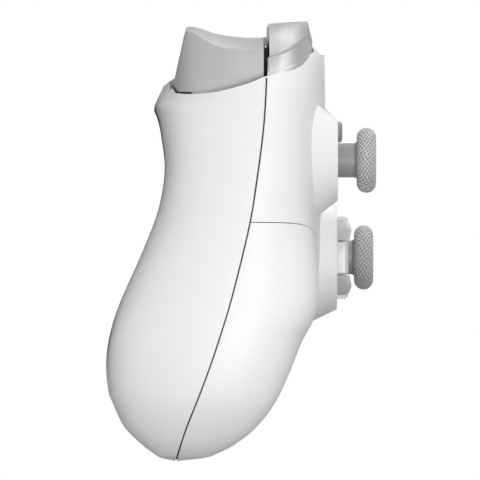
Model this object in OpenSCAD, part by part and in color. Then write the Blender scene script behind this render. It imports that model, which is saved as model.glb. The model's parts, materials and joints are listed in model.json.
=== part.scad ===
// Wireless gamepad with offset sticks.
// X is the player's right. The shapes are laid out in the face frame, where Y runs toward the
// shoulders and Z stands out of the face, and the last lines lay the whole pad on its back.

/* [Body] */
// Overall width across the grips
body_width = 156; // [150:1:164]
// Wall thickness of the covers
wall = 2; // [1.6:0.1:2.2]
// Open parting gap between the front and rear covers
parting_gap = 0.4; // [0.3:0.05:0.6]
// Seam between the faceplate and the grip panels
seam_gap = 0.3; // [0.2:0.05:0.5]
// Drop of the face toward the sides, per square millimetre of offset
face_crown = 0.0011; // [0.0009:0.0001:0.0012]

/* [Sticks] */
// Sideways place of the left stick, from the middle
left_stick_x = -41; // [-43:0.5:-39]
// Place of the left stick toward the shoulders
left_stick_y = 19.4; // [18:0.2:20]
// Sideways place of the right stick
right_stick_x = 20; // [19:0.5:22]
// Place of the right stick toward the shoulders
right_stick_y = -4.3; // [-5:0.1:-3.5]
// Diameter of the stick cap
cap_d = 15.8; // [14:0.1:17]
// Thickness of the stick cap
cap_t = 4.7; // [4:0.1:5.2]
// Height of the underside of the cap above the boss
cap_lift = 4.65; // [4.2:0.05:5.5]
// Diameter of the stick stem
stem_d = 8.3; // [7:0.1:8.6]
// Depth of the tilt centre below the boss
pivot_depth = 12.5; // [12:0.1:13]
// Tilt of a stick about each of its two axes, degrees
stick_tilt = 13; // [8:0.5:13]
// Travel of the stick click
click_travel = 0.5; // [0.3:0.05:0.6]
// Top diameter of the round boss under a stick
stick_boss_d = 20; // [19.5:0.1:22]
// Gap between the stem and the rim of its opening at full tilt
stick_rim_gap = 0.45; // [0.4:0.05:0.8]

/* [Cross pad] */
// Sideways place of the cross pad
cross_x = -20; // [-22:0.5:-19]
// Place of the cross pad toward the shoulders
cross_y = -4.3; // [-5:0.1:-3.5]
// Tip to tip span of the cross
cross_span = 20.1; // [19:0.1:21]
// Width of an arm of the cross
cross_arm = 7.7; // [6.5:0.1:8.4]
// Height of the end of each arm above the boss
arm_rise = 2.7; // [2.4:0.05:3]
// Height of the four lobes between the arms above the boss
cross_rise = 3.55; // [3.2:0.05:4]
// Groove between an arm and a lobe
cross_groove = 0.4; // [0.3:0.05:0.6]
// Top diameter of the boss around the cross
cross_boss_d = 25.4; // [25:0.1:27]
// Depth of the dish around the cross
dish_depth = 2.2; // [2:0.1:2.6]

/* [Buttons] */
// Middle of the four face buttons, sideways
face_x = 41; // [39:0.5:43]
// Middle of the four face buttons, toward the shoulders
face_y = 19.4; // [18:0.2:20]
// Distance from that middle to each button
face_pitch = 10.3; // [10.2:0.1:11]
// Diameter of a face button
button_d = 10.4; // [9:0.1:10.6]
// Height of a face button above the shell
button_rise = 1.95; // [1.2:0.05:2.4]
// Travel of a face button
button_travel = 1.3; // [0.8:0.1:1.6]
// Diameter of the small function buttons
small_d = 5.1; // [4.4:0.1:5.8]
// Offset of the two function buttons from the middle
small_x = 9.5; // [8.5:0.5:10]
// Place of the function buttons toward the shoulders
small_y = 26.4; // [25:0.2:27]
// Height of the function buttons above the boss plane
small_rise = 1.5; // [0.8:0.1:1.8]
// Travel of the small buttons
small_travel = 0.3; // [0.2:0.05:0.35]
// Diameter of the capture button
capture_d = 4.4; // [4:0.1:5]
// Diameter of the home button
home_d = 12; // [10:0.2:12.6]
// Width of the light ring around the home button
ring_w = 1; // [0.8:0.1:1.4]

/* [Shoulder keys] */
// Inner end of the triggers, from the middle
trigger_in = 37; // [36.5:0.1:38]
// Inner end of the bumpers, from the middle
bumper_in = 21.3; // [21:0.1:22]
// Pull of the triggers, degrees
trigger_pull = 18; // [12:1:18]
// Diameter of the trigger and bumper pins
pin_d = 2; // [1.6:0.1:2.2]
// Thickness of the bright band on the end of each bumper
band = 0.8; // [0.6:0.05:1]
// Wall of the shoulder keys
key_wall = 1.6; // [1.3:0.1:1.8]

/* [Inside] */
// Thickness of the main board
board_t = 1.2; // [1:0.1:1.4]
// Height of a stick module's tilt centre above the board
module_h = 5.5; // [5.3:0.1:5.7]
// Battery width
battery_w = 50; // [44:1:50]
// Battery length along the face
battery_l = 24; // [22:0.5:25]
// Battery thickness
battery_t = 9; // [7:0.5:9.5]
// Diameter of a rumble motor can
motor_d = 18; // [16:0.5:19]
// Length of a rumble motor can
motor_l = 14; // [12:0.5:15]
// Thread diameter of the case screws
screw_d = 2.5; // [2:0.1:2.6]
// Diameter of the shaft of a stick
shaft_d = 3; // [2.6:0.1:3.2]
// Thickness of the silicone dome mats
mat_t = 0.9; // [0.7:0.05:1]
// Bore of the headset jack
jack_d = 3.6; // [3.55:0.05:3.7]

/* [Fits] */
// Gap around keys and buttons in their openings
key_gap = 0.3; // [0.25:0.05:0.4]
// Radial clearance of a pin in its bore
pin_gap = 0.05; // [0.03:0.01:0.08]

/* [Hidden] */
$fn = 48;

stretch = body_width / 156;
// Outline stations from the middle of the pad to the grip tip. Each row has the outer edge x, y,
// the inner edge x, y, and how square the section is toward its outer and inner edge.
stations = [
    [0, 49.5, 0, -24.5, 15, 9],
    [22, 49.5, 13, -24.8, 15, 9],
    [44, 48.5, 24, -25.8, 10, 7],
    [58, 44, 32, -28, 5.2, 4.6],
    [67, 33, 37.5, -31.5, 3.4, 3.4],
    [72, 14, 41.5, -35.6, 2.5, 2.8],
    [75.5, -7, 45, -39.8, 2.2, 2.5],
    [77.8, -25, 48.8, -44, 2.1, 2.4],
    [77.2, -38, 53, -48, 2.1, 2.2],
    [73.5, -47, 57.6, -51.2, 2.1, 2.1],
    [69.4, -51.6, 61, -52.9, 2, 2],
    [65, -53.4, 65, -53.4, 2, 2]];
// Ridge of the face, ridge of the back and parting line, each as y, z
face_line = [[-53.4, -39.4], [-52.6, -32.4], [-51.5, -29.2], [-49.5, -25.3], [-45.6, -20.3],
    [-39.7, -15.6], [-31.9, -11.8], [-24, -8.6], [-20.1, -6.4], [-16, -5.1], [-6, -3.8],
    [6, -2.9], [20, -2.7], [50, -2.7]];
back_line = [[-53.4, -39.4], [-52.6, -43], [-51.5, -44.8], [-49.5, -47.5], [-45.6, -51.5],
    [-41.7, -53.7], [-37.7, -55.4], [-30.6, -56.3], [-24, -55.6], [-16.2, -53.2], [-4.4, -48],
    [5.4, -44.1], [11.3, -42.6], [17.2, -41.9], [25, -42.9], [32.8, -44.6], [37.7, -42.2],
    [40, -39.2], [44, -36], [50, -33.5]];
parting_line = [[-53.4, -39.4], [-46.3, -37.2], [-38.4, -34.1], [-30.1, -31], [-20.7, -27.9],
    [-14.7, -26.1], [-2.5, -23], [4.1, -21.5], [9.8, -20.5], [27, -18.2], [39.7, -17.4],
    [50, -17]];
// Rim of the covers below the shoulder keys, as y, z, from the back to the face
rim_line = [[37.7, -41], [37.7, -40.4], [35.5, -39.2], [35.3, -35.8], [35.8, -29.6],
    [37.7, -22.3], [39.4, -18.1], [39.7, -16.9], [41.5, -12.7], [43.3, -9.8], [45.1, -7.6],
    [47.2, -5.9], [48.2, -5.3], [60, -4]];
// Profiles of the trigger and bumper over z: end, corner and top
trigger_end = [[-40.2, 51.5], [-39.2, 53.6], [-38, 56], [-36, 58.2], [-33, 59.6], [-26, 60.4],
    [-18.1, 60]];
trigger_corner = [[-40.2, 36.3], [-37, 49.9], [-36.4, 50.6], [-34.5, 50.2], [-29.6, 47.5], [-23.5, 46.3],
    [-18.1, 46.3]];
trigger_top = [[-40.2, 36.4], [-37, 50.9], [-36.6, 51.8], [-34.3, 51.7], [-29.6, 50.2],
    [-24.7, 49.4], [-18.1, 49]];
bumper_end = [[-16.7, 61.6], [-14, 60], [-12.7, 58.6], [-11, 56], [-9.8, 53.4], [-8.8, 50.4],
    [-7.6, 44.5], [-6.9, 38], [-6.1, 31]];
bumper_corner = [[-16.7, 45.2], [-15.9, 45.4], [-12.7, 46.4], [-10.5, 47.9], [-8.7, 49.1],
    [-7.35, 50], [-6.9, 49.5], [-6.1, 48.6]];
bumper_top = [[-16.7, 52.7], [-7.4, 53.4], [-7.1, 53.1], [-6.7, 51.2], [-6.1, 49]];
trigger_levels = [-40.2, -39.2, -38.1, -37, -36.6, -35.8, -34.3, -31.8, -29.6, -27, -24, -21,
    -18.1];
bumper_levels = [-16.7, -15.3, -14, -12.7, -11, -9.8, -8.8, -7.7, -7.1, -6.7, -6.1];

sections = 3;
across = 14;
last = len(stations) - 1;
outline_tip = stations[last][1];
board_top = -pivot_depth - module_h;
board_low = board_top - board_t;
trigger_pivot = [38, -21.5];
swing_r = trigger_pivot[1] - trigger_levels[0] + 0.5;
bumper_pivot = [bumper_in + 2.6, 41.5];
tip_x = 53 * stretch;
carrier_z = [-17.9, -17];
ear_x = [trigger_in + 4.2, 52.5 * stretch];
ear_t = 2;
ear_room = ear_x[1] - ear_x[0] - ear_t;
key_end = 59.5 * stretch;
dome_r = pivot_depth - 1.6;
dome_wall = 0.9;
plateau_z = -0.5;
post_r = screw_d / 2 + 1.65;
battery_wall = 1.8;
post_x = battery_w / 2 + battery_wall + post_r + 0.6;
grip_screw_x = 64 * stretch;
screw_places = [[0, 5, -22], [post_x, 32.9, -22], [-post_x, 32.9, -22],
    [grip_screw_x, -40, -36], [-grip_screw_x, -40, -36]];
motor_y = -20;
motor_z = -34;
motor_x = 70 * stretch - 8 - motor_l;
battery_y = 23;
cross_z = -10;
flange_z = board_top + mat_t + button_travel + 3.8;
full_tilt = acos(pow(cos(stick_tilt), 2));
stick_hole_d = 2 * (pivot_depth * tan(full_tilt) + stem_d / 2 / cos(full_tilt) + stick_rim_gap);
shaft_r = shaft_d / 2;
foot_at = 7.6;
switch_top = board_top + 2.2;
stem_low = switch_top + small_travel + 0.05;
usb_size = [8.94, 7.35, 3.26];

// Smooth curve through a table of [place, value]
function segment(tab, y, i = 0) =
    (i >= len(tab) - 2 || y < tab[i + 1][0]) ? i : segment(tab, y, i + 1);
function rate(tab, i) =
    let (a = tab[max(i - 1, 0)], b = tab[min(i + 1, len(tab) - 1)])
    (b[1] - a[1]) / (b[0] - a[0]);
function curve(tab, y) =
    let (i = segment(tab, y), a = tab[i], b = tab[i + 1], h = b[0] - a[0],
        q = min(max((y - a[0]) / h, 0), 1), m = rate(tab, i) * h, n = rate(tab, i + 1) * h)
    (2 * q * q * q - 3 * q * q + 1) * a[1] + (q * q * q - 2 * q * q + q) * m
    + (3 * q * q - 2 * q * q * q) * b[1] + (q * q * q - q * q) * n;
function blend(a, b, c, d, q) =
    0.5 * (2 * b + (c - a) * q + (2 * a - 5 * b + 4 * c - d) * q * q
    + (3 * b - a - 3 * c + d) * q * q * q);
function unit(v) = v / max(norm(v), 0.001);
function ease(q) = let (c = min(max(q, 0), 1)) c * c * (3 - 2 * c);

// Outline at station t, with the rows beyond both ends mirrored
function flipped(r) = [-r[0], r[1], -r[2], r[3], r[4], r[5]];
function row_at(i) = i < 0 ? flipped(stations[-i])
    : i > last ? 2 * stations[last] - stations[2 * last - i] : stations[i];
function outline(t) = let (i = min(floor(t), last - 1))
    blend(row_at(i - 1), row_at(i), row_at(i + 1), row_at(i + 2), t - i);
// The same outline moved inward by w
function inset(t, w) =
    let (s = outline(t), a = outline(max(t - 0.01, 0)), b = outline(min(t + 0.01, last)),
        u = unit([b[0] - a[0], b[1] - a[1]]), v = unit([b[2] - a[2], b[3] - a[3]]))
    w == 0 ? [s[0] * stretch, s[1], s[2] * stretch, s[3], s[4], s[5]]
    : [t == 0 ? 0 : s[0] * stretch + u[1] * w, s[1] - u[0] * w,
        t == 0 ? 0 : s[2] * stretch - v[1] * w, s[3] + v[0] * w, s[4], s[5]];
// An inset outline stops short of the tip, where its two edges would cross
function reach(w) = w == 0 ? last : last - 0.35 - 0.28 * w;

function face_z(x, y) = curve(face_line, max(y, outline_tip))
    - face_crown * x * x * ease((y + 16) / 24);
function back_z(x, y) = curve(back_line, max(y, outline_tip));
function arch(u, p) = sqrt(max(1 - pow(abs(u), p), 0));
// Point of a cover's skin, side 1 for the front and -1 for the rear
function skin(t, u, w, side, gap) =
    let (s = inset(t, w), f = (u + 1) / 2, x = s[2] + (s[0] - s[2]) * f,
        y = s[3] + (s[1] - s[3]) * f, a = curve(parting_line, s[3]),
        b = curve(parting_line, s[1]), base = a + (b - a) * f + side * gap,
        top = side > 0 ? face_z(x, y) - w : back_z(x, y) + w,
        e = arch(u, u > 0 ? s[4] : s[5]))
    [x, y, base + (top - base) * e];
// The same on both halves: j counts sections from the middle, and is negative on the left
count = last * sections;
function skin_at(j, u, w, side, gap) =
    let (p = skin(abs(j) / count * reach(w), u, w, side, gap)) [sign(j) * p[0], p[1], p[2]];
ladder = [for (k = [0:across]) -cos(180 * k / across)];
function quad(a, b, c, d) = [[a, b, c], [a, c, d]];
function turned(faces, side) = side > 0 ? faces : [for (f = faces) [f[2], f[1], f[0]]];
function tip_of(w, side, gap, s) =
    let (a = skin_at(s * count, -1, w, side, gap), b = skin_at(s * count, 1, w, side, gap))
    (a + b) / 2 - [0, w == 0 ? 0 : 0.4, 0];

// Resting pose on the back: the grips and the lip behind the triggers touch the table
back_skin = [for (j = [0:count - 1]) for (u = ladder) skin_at(j, u, 0, -1, parting_gap / 2)];
function height_at(p, tilt) = p[1] * sin(tilt) + p[2] * cos(tilt);
function depth_at(p, tilt) = p[1] * cos(tilt) - p[2] * sin(tilt);
function lowest(list, tilt) = let (z = [for (p = list) height_at(p, tilt)], m = min(z))
    [for (i = [0:len(list) - 1]) if (z[i] == m) list[i]][0];
grip_rest = lowest([for (p = back_skin) if (p[1] < 0) p], -10.4);
lip_rest = lowest([for (p = back_skin) if (p[1] > 20 && p[1] < 36) p], -10.4);
rest_tilt = -atan((lip_rest[2] - grip_rest[2]) / (lip_rest[1] - grip_rest[1]));
rest_lift = -min([for (p = back_skin) if (p[1] < 36) height_at(p, rest_tilt)]);
shoulder_reach = max(concat(
    [for (z = trigger_levels) depth_at([0, curve(trigger_top, z), z], rest_tilt)],
    [for (z = bumper_levels) depth_at([0, curve(bumper_top, z), z], rest_tilt)]));
grip_reach = min([for (s = [-1, 1]) for (p = concat([tip_of(0, s, parting_gap / 2, 1)],
    [for (j = [0:count - 1]) for (u = ladder) skin_at(j, u, 0, s, parting_gap / 2)]))
    depth_at(p, rest_tilt)]);
rest_shift = -(shoulder_reach + grip_reach) / 2;

// Cover of one side as a thin wall from outer skin to inner skin
module cover(side) {
    m = across + 1;
    rows = 2 * count - 1;
    n = rows * m;
    gap = parting_gap / 2;
    skins = [for (w = [0, wall]) for (j = [1 - count:count - 1]) for (u = ladder)
        skin_at(j, u, w, side, gap)];
    tips = [tip_of(0, side, gap, -1), tip_of(0, side, gap, 1), tip_of(wall, side, gap, -1),
        tip_of(wall, side, gap, 1)];
    r = (rows - 1) * m;
    faces = concat(
        [for (j = [0:rows - 2]) for (k = [0:m - 2]) let (a = j * m + k)
            each quad(a, a + 1, a + m + 1, a + m)],
        [for (j = [0:rows - 2]) for (k = [0:m - 2]) let (a = n + j * m + k)
            each quad(a, a + m, a + m + 1, a + 1)],
        [for (j = [0:rows - 2]) let (a = j * m) each quad(a, a + m, n + a + m, n + a)],
        [for (j = [0:rows - 2]) let (a = j * m + m - 1) each quad(a, n + a, n + a + m, a + m)],
        [for (k = [0:m - 2]) each [[2 * n, k + 1, k], [2 * n + 1, r + k, r + k + 1],
            [2 * n + 2, n + k, n + k + 1], [2 * n + 3, n + r + k + 1, n + r + k]]],
        quad(2 * n, 0, n, 2 * n + 2), quad(2 * n, 2 * n + 2, n + m - 1, m - 1),
        quad(2 * n + 1, 2 * n + 3, n + r, r),
        quad(2 * n + 1, r + m - 1, n + r + m - 1, 2 * n + 3));
    polyhedron(concat(skins, tips), turned(faces, side), convexity = 6);
}

// Solid of one side from the middle of its wall to the parting plane, used to trim what is inside
module filling(side) {
    m = across + 1;
    rows = 2 * count - 1;
    w = wall / 2;
    skins = [for (j = [1 - count:count - 1]) for (u = ladder) skin_at(j, u, w, side, -3)];
    n = rows * m;
    r = (rows - 1) * m;
    faces = concat(
        [for (j = [0:rows - 2]) for (k = [0:m - 2]) let (a = j * m + k)
            each quad(a, a + 1, a + m + 1, a + m)],
        [for (j = [0:rows - 2]) let (a = j * m) each quad(a, a + m, a + 2 * m - 1, a + m - 1)],
        [[for (k = [m - 1:-1:0]) k], [for (k = [0:m - 1]) r + k]]);
    polyhedron(skins, side > 0 ? faces : [for (f = faces) [for (i = [len(f) - 1:-1:0]) f[i]]],
        convexity = 6);
}

// Loft through flat rings of equal point counts
module loft(rings) {
    n = len(rings[0]);
    m = len(rings);
    polyhedron([for (r = rings) each r], concat(
        [for (j = [0:m - 2]) for (k = [0:n - 1]) let (a = j * n + k, b = j * n + (k + 1) % n)
            each quad(a, a + n, b + n, b)],
        [[for (k = [0:n - 1]) k], [for (k = [n - 1:-1:0]) (m - 1) * n + k]]), convexity = 6);
}

// Plan outline of a shoulder key at height z, on the right-hand side of the pad
function key_ring(z, a, b, low, corner, top) =
    let (c = max(a + 3, b - 20), d = 0.9)
    [for (p = concat([[b, low], [b, corner - d]], [for (k = [6:-1:0]) let (q = k / 6)
        [c + (b - d - c) * q, top - (top - corner) * pow(q, 2.2)]],
        [[a + d, top], [a, top - d], [a, low]])) [p[0], p[1], z]];
// Slanted ends of a key keep their wall, so the hollow looks one wall further along z
function slanted(tab, z, w) = min(curve(tab, z), curve(tab, max(z - w, tab[0][0])));
module trigger_shape(grow, low) {
    hollow = max(-grow, 0);
    loft([for (z = trigger_levels)
        if (z > trigger_levels[0] + hollow - 0.01 && z < trigger_levels[12] - hollow + 0.01)
        key_ring(z, trigger_in - grow, curve(trigger_end, z) * stretch + grow, low,
            slanted(trigger_corner, z, hollow) + grow, slanted(trigger_top, z, hollow) + grow)]);
}
// The bumper grown or shrunk by the same amount along z as well
function spread(tab, z, g) = g > 0 ? max(curve(tab, z), curve(tab, max(z - g, tab[0][0])))
    : min(curve(tab, z), curve(tab, min(z - g, bumper_span[1])));
bumper_span = [-16.7, -6.1];
module bumper_shape(grow, low) {
    first = bumper_span[0] - grow;
    final = bumper_span[1] + grow;
    loft([for (z = bumper_levels)
        let (h = first + (final - first) * (z - bumper_span[0]) / (bumper_span[1] - bumper_span[0]))
        key_ring(h, bumper_in - grow, spread(bumper_end, h, grow) * stretch + grow, low,
            spread(bumper_corner, h, grow) + grow, spread(bumper_top, h, grow) + grow)]);
}

module sides() for (s = [0, 1]) mirror([s, 0, 0]) children();
module at_side(s) if (s < 0) mirror([1, 0, 0]) children(); else children();
// Prism along X with a [y, z] outline
module prism_x(a, b, points) translate([a, 0, 0]) rotate([90, 0, 90])
    linear_extrude(b - a) polygon(points);
module rod_x(a, b, y, z, r) translate([a, y, z]) rotate([0, 90, 0]) cylinder(r = r, h = b - a);
module rod_y(a, b, x, z, r) translate([x, a, z]) rotate([-90, 0, 0]) cylinder(r = r, h = b - a);
module rod_z(a, b, x, y, r) translate([x, y, a]) cylinder(r = r, h = b - a);
module box(a, b) translate(a) cube(b - a);

module rim_cut(x, first, final) prism_x(x, 100, concat([for (i = [first:final]) rim_line[i]],
    [[60, rim_line[final][1]], [60, rim_line[first][1]]]));

// Where the grip panel begins, on the right
seam = [[90, 4.4], [72, 4.2], [62, 3.3], [52, 1.2], [44, -0.6], [38.5, -3.5], [36, -8],
    [33.5, -13.5], [31, -24], [31, -70], [90, -70]];
module panel_area(shift) translate([-shift, shift, -60]) linear_extrude(70) polygon(seam);

module boss(x, y, top, foot, h) translate([x, y, -h]) cylinder(d1 = foot, d2 = top, h = h, $fn = 72);
function button_place(i) = [face_x + face_pitch * cos(90 * i), face_y + face_pitch * sin(90 * i)];
function small_places() = [[-small_x, small_y], [small_x, small_y]];
capture_place = [0, 18.6];
home_place = [0, 38];

module front_shell() difference() {
    union() {
        cover(1);
        boss(left_stick_x, left_stick_y, stick_boss_d, stick_boss_d + 13, 8.5);
        boss(right_stick_x, right_stick_y, stick_boss_d, stick_boss_d + 10, 7);
        boss(cross_x, cross_y, cross_boss_d, 32.2, 7);
        intersection() {
            prism_x(-18, 18, [[9, -3.6], [12, plateau_z], [30, plateau_z], [33, -3.6]]);
            translate([0, 60, 0]) rotate([90, 0, 0]) linear_extrude(60)
                polygon([[-18, -3.6], [-14.5, plateau_z], [14.5, plateau_z], [18, -3.6]]);
        }
        for (i = [0:3]) let (p = button_place(i))
            rod_z(flange_z + 0.4, face_z(p[0], p[1]) - 1, p[0], p[1], button_d / 2 + 1.6);
        intersection() {
            filling(1);
            union() {
                for (p = screw_places) rod_z(p[2], 0, p[0], p[1], post_r);
                sides() box([bumper_in - 2.4, 36, -16.9], [bumper_in - 0.9, 50, 0]);
            }
        }
    }
    for (p = [[left_stick_x, left_stick_y], [right_stick_x, right_stick_y]]) {
        rod_z(-14, 1, p[0], p[1], stick_hole_d / 2);
        translate([p[0], p[1], -pivot_depth]) sphere(r = dome_r + 0.6, $fn = 64);
    }
    rod_z(-dish_depth, 1, cross_x, cross_y, cross_span / 2 + 1.6);
    rod_z(-12, 1, cross_x, cross_y, 6.2);
    rod_z(-12, -dish_depth - wall, cross_x, cross_y, 11);
    for (i = [0:3]) let (p = button_place(i)) rod_z(-14, 1, p[0], p[1], button_d / 2 + key_gap);
    for (p = small_places()) rod_z(-8, 1, p[0], p[1], small_d / 2 + key_gap);
    rod_z(-8, 1, capture_place[0], capture_place[1], capture_d / 2 + key_gap);
    rod_z(-8, 1, home_place[0], home_place[1], home_d / 2 + key_gap + ring_w);
    for (p = screw_places) rod_z(p[2] - 1, p[2] + 7, p[0], p[1], screw_d / 2 + 0.02);
    rod_y(-28, -19.5, 0, board_low - 2.5, 3.3);
    sides() {
        rim_cut(bumper_in - 0.8, 7, 13);
        bumper_shape(key_gap + 0.05, 36.8);
    }
}
module front_cover() color("whitesmoke") difference() {
    front_shell();
    sides() panel_area(seam_gap);
}
module grip_panel() let (p = screw_places[3]) intersection() {
    difference() {
        union() {
            cover(1);
            intersection() {
                filling(1);
                rod_z(p[2], 0, p[0], p[1], post_r);
            }
        }
        rod_z(p[2] - 1, p[2] + 7, p[0], p[1], screw_d / 2 + 0.02);
    }
    panel_area(0);
}
module left_grip_panel() color("white") mirror([1, 0, 0]) grip_panel();
module right_grip_panel() color("white") grip_panel();

// Room for the back edge of the trigger as it swings in, no wider than the trigger at that depth
function swing_x(z) = curve(trigger_end, z) * stretch + key_gap + 0.05;
module trigger_swing() translate([0, trigger_pivot[0], trigger_pivot[1]]) rotate([0, 90, 0])
    rotate_extrude() polygon([[0, trigger_in - 0.5], [swing_r, trigger_in - 0.5],
        [swing_r, swing_x(trigger_levels[0])],
        each [for (z = [trigger_levels[0] + 0.1:0.7:-31.7]) [trigger_pivot[1] - z + key_gap, swing_x(z)]],
        [0, key_end + 2.5]]);

module rear_cover() color("gainsboro") difference() {
    union() {
        cover(-1);
        intersection() {
            filling(-1);
            union() {
                for (p = screw_places) rod_z(-60, p[2] - 0.1, p[0], p[1], post_r + 0.5);
                difference() {
                    box([-battery_w / 2 - battery_wall, battery_y - battery_l / 2 - battery_wall, -50],
                        [battery_w / 2 + battery_wall, battery_y + battery_l / 2 + battery_wall, -35]);
                    box([-battery_w / 2 - 0.3, battery_y - battery_l / 2 - 0.3, -51],
                        [battery_w / 2 + 0.3, battery_y + battery_l / 2 + 0.3, -34]);
                }
                sides() difference() {
                    box([motor_x + 2, motor_y - motor_d / 2 - 1, -60],
                        [motor_x + motor_l - 2, motor_y + motor_d / 2 + 1, motor_z - 2]);
                    rod_x(motor_x, motor_x + motor_l, motor_y, motor_z, motor_d / 2 + 0.05);
                }
                sides() box([trigger_in - 3.2, 35.5, -42], [trigger_in - 1.7, 50, -18.2]);
            }
        }
    }
    for (p = screw_places) {
        rod_z(-70, p[2] - 3.6, p[0], p[1], screw_d + 0.2);
        rod_z(-60, p[2] + 1, p[0], p[1], screw_d / 2 + 0.25);
    }
    box([-usb_size[0] / 2 - 0.4, 40, board_low - usb_size[2] - 0.4], [usb_size[0] / 2 + 0.4, 52,
        board_low + 0.4]);
    sides() rim_cut(trigger_in - 1.5, 0, 7);
    sides() intersection() {
        trigger_swing();
        union() {
            box([30, 28, -42], [70, 44, -34]);
            box([50, 34.2, -34.1], [70, 44, -20]);
        }
    }
}

// Black carrier between the covers, with the ears that hold the trigger and bumper pins
function ring_row(j, w, dz) = let (t = abs(j) / count * reach(w), s = inset(t, w),
    o = j >= 0 ? [s[0], s[1]] : [s[2], s[3]]) [o[0], o[1], curve(parting_line, o[1]) + dz];
module carrier_ring() {
    steps = 2 * last;
    profile = [[wall + 0.5, 1.6], [wall + 2.8, 1.6], [wall + 2.8, -1.6], [wall + 0.5, -1.6]];
    half = concat([for (k = [0:steps]) for (p = profile)
        ring_row(k * count / steps, p[0], p[1])], [for (k = [steps:-1:0]) for (p = profile)
        let (q = ring_row(-max(k * count / steps, 0.0001), p[0], p[1])) k == 0 ? [0, q[1], q[2]]
        : q]);
    n = len(profile);
    mirrored = [for (k = [2 * steps:-1:1]) for (i = [0:n - 1]) let (q = half[k * n + i])
        [-q[0], q[1], q[2]]];
    points = concat(half, mirrored);
    m = len(points) / n;
    polyhedron(points, [for (j = [0:m - 1]) for (i = [0:n - 1])
        let (a = j * n + i, b = j * n + (i + 1) % n, c = (j + 1) % m * n)
        each quad(a, c + i, c + (i + 1) % n, b)], convexity = 10);
}
module inner_frame() color([0.09, 0.09, 0.1]) {
    difference() {
        carrier_ring();
        sides() box([bumper_in - 2.6, 33, -30], [100, 60, 0]);
        box([-4.2, -25, board_low - 5.4], [4.2, -18, 0]);
    }
    sides() {
        difference() {
            translate([0, 0, carrier_z[0]]) linear_extrude(carrier_z[1] - carrier_z[0])
                polygon(concat([[bumper_in - 4.3, 45], [bumper_in - 4.3, 46.8], [44 * stretch, 46.8]],
                [for (t = [2.2:0.3:4]) let (p = inset(t, wall + 0.8)) [p[0], p[1]]],
                [[key_end - 0.5, 30], [key_end - 2.5, 36], [bumper_in + 0.7, 36],
                [bumper_in - 0.7, 45]]));
            rod_z(-18, -16, bumper_pivot[0], bumper_pivot[1], pin_d / 2);
        }
        for (x = ear_x) difference() {
            union() {
                rod_x(x, x + ear_t, trigger_pivot[0], trigger_pivot[1], 2.6);
                prism_x(x, x + ear_t, [[36.2, carrier_z[0] + 0.2], [39.8, carrier_z[0] + 0.2],
                    [40, -20.5], [36, -20.5]]);
            }
            rod_x(x - 1, x + ear_t + 1, trigger_pivot[0], trigger_pivot[1], pin_d / 2);
        }
    }
}

module main_board() color([0.05, 0.3, 0.16]) difference() {
    half = [[16, 44.2], [18, 35.1], [56 * stretch, 35.1], [60 * stretch, 29],
        [62 * stretch, 18], [60 * stretch, 2], [53 * stretch, -12], [40 * stretch, -18]];
    translate([0, 0, board_low]) linear_extrude(board_t) polygon(concat(half,
        [for (i = [len(half) - 1:-1:0]) [-half[i][0], half[i][1]]]));
    for (p = screw_places) rod_z(-25, -10, p[0], p[1], post_r + 0.5);
}
module board_chips() color([0.12, 0.12, 0.13]) {
    box([-6, 23, board_low - 1.2], [6, 33, board_low]);
    box([-30, 4, board_low - 1], [-24, 10, board_low]);
    box([22, 20, board_low - 1.4], [30, 26, board_low]);
    box([-16, 38, board_low - 1], [-9, 42, board_low]);
}
module battery() color([0.25, 0.27, 0.3])
    box([-battery_w / 2, battery_y - battery_l / 2, -39.5],
        [battery_w / 2, battery_y + battery_l / 2, -39.5 + battery_t]);

module rumble_motor() rod_x(motor_x, motor_x + motor_l, motor_y, motor_z, motor_d / 2);
module rumble_weight() {
    a = motor_x + motor_l;
    rod_x(a + 0.3, a + 8, motor_y, motor_z, 1);
    // The heavy half hangs straight down as the pad lies on its back
    translate([0, motor_y, motor_z]) rotate([-rest_tilt, 0, 0]) difference() {
        rod_x(a + 1.5, a + 7.5, 0, 0, motor_d / 2 - 0.5);
        box([a, -20, 1.6], [a + 9, 20, 20]);
    }
}
module left_rumble_motor() color("silver") mirror([1, 0, 0]) rumble_motor();
module right_rumble_motor() color("silver") rumble_motor();
module left_rumble_weight() color([0.5, 0.5, 0.52]) mirror([1, 0, 0]) rumble_weight();
module right_rumble_weight() color([0.5, 0.5, 0.52]) rumble_weight();

module usb_c_socket() color("silver") {
    w = usb_size[0];
    h = usb_size[2];
    z = board_low - h / 2;
    difference() {
        box([-w / 2, 41.6, z - h / 2], [w / 2, 41.6 + usb_size[1], z + h / 2]);
        box([-w / 2 + 0.3, 43, z - h / 2 + 0.35], [w / 2 - 0.3, 50, z + h / 2 - 0.35]);
    }
    box([-3.4, 42.5, z - 0.35], [3.4, 48.2, z + 0.35]);
}
module headset_jack() color([0.14, 0.14, 0.15]) difference() {
    z = board_low - 2.5;
    union() {
        box([-3.25, -20.9, board_low - 5], [3.25, -8.3, board_low]);
        rod_y(-24, -20.5, 0, z, 3);
    }
    rod_y(-25, -9.6, 0, z, jack_d / 2);
}
module case_screws() color("dimgray") for (p = screw_places) difference() {
    union() {
        rod_z(p[2] - 3.6, p[2] + 5, p[0], p[1], screw_d / 2);
        rod_z(p[2] - 5.4, p[2] - 3.6, p[0], p[1], screw_d);
    }
    rod_z(p[2] - 5.5, p[2] - 4.4, p[0], p[1], screw_d * 0.4);
}

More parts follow.
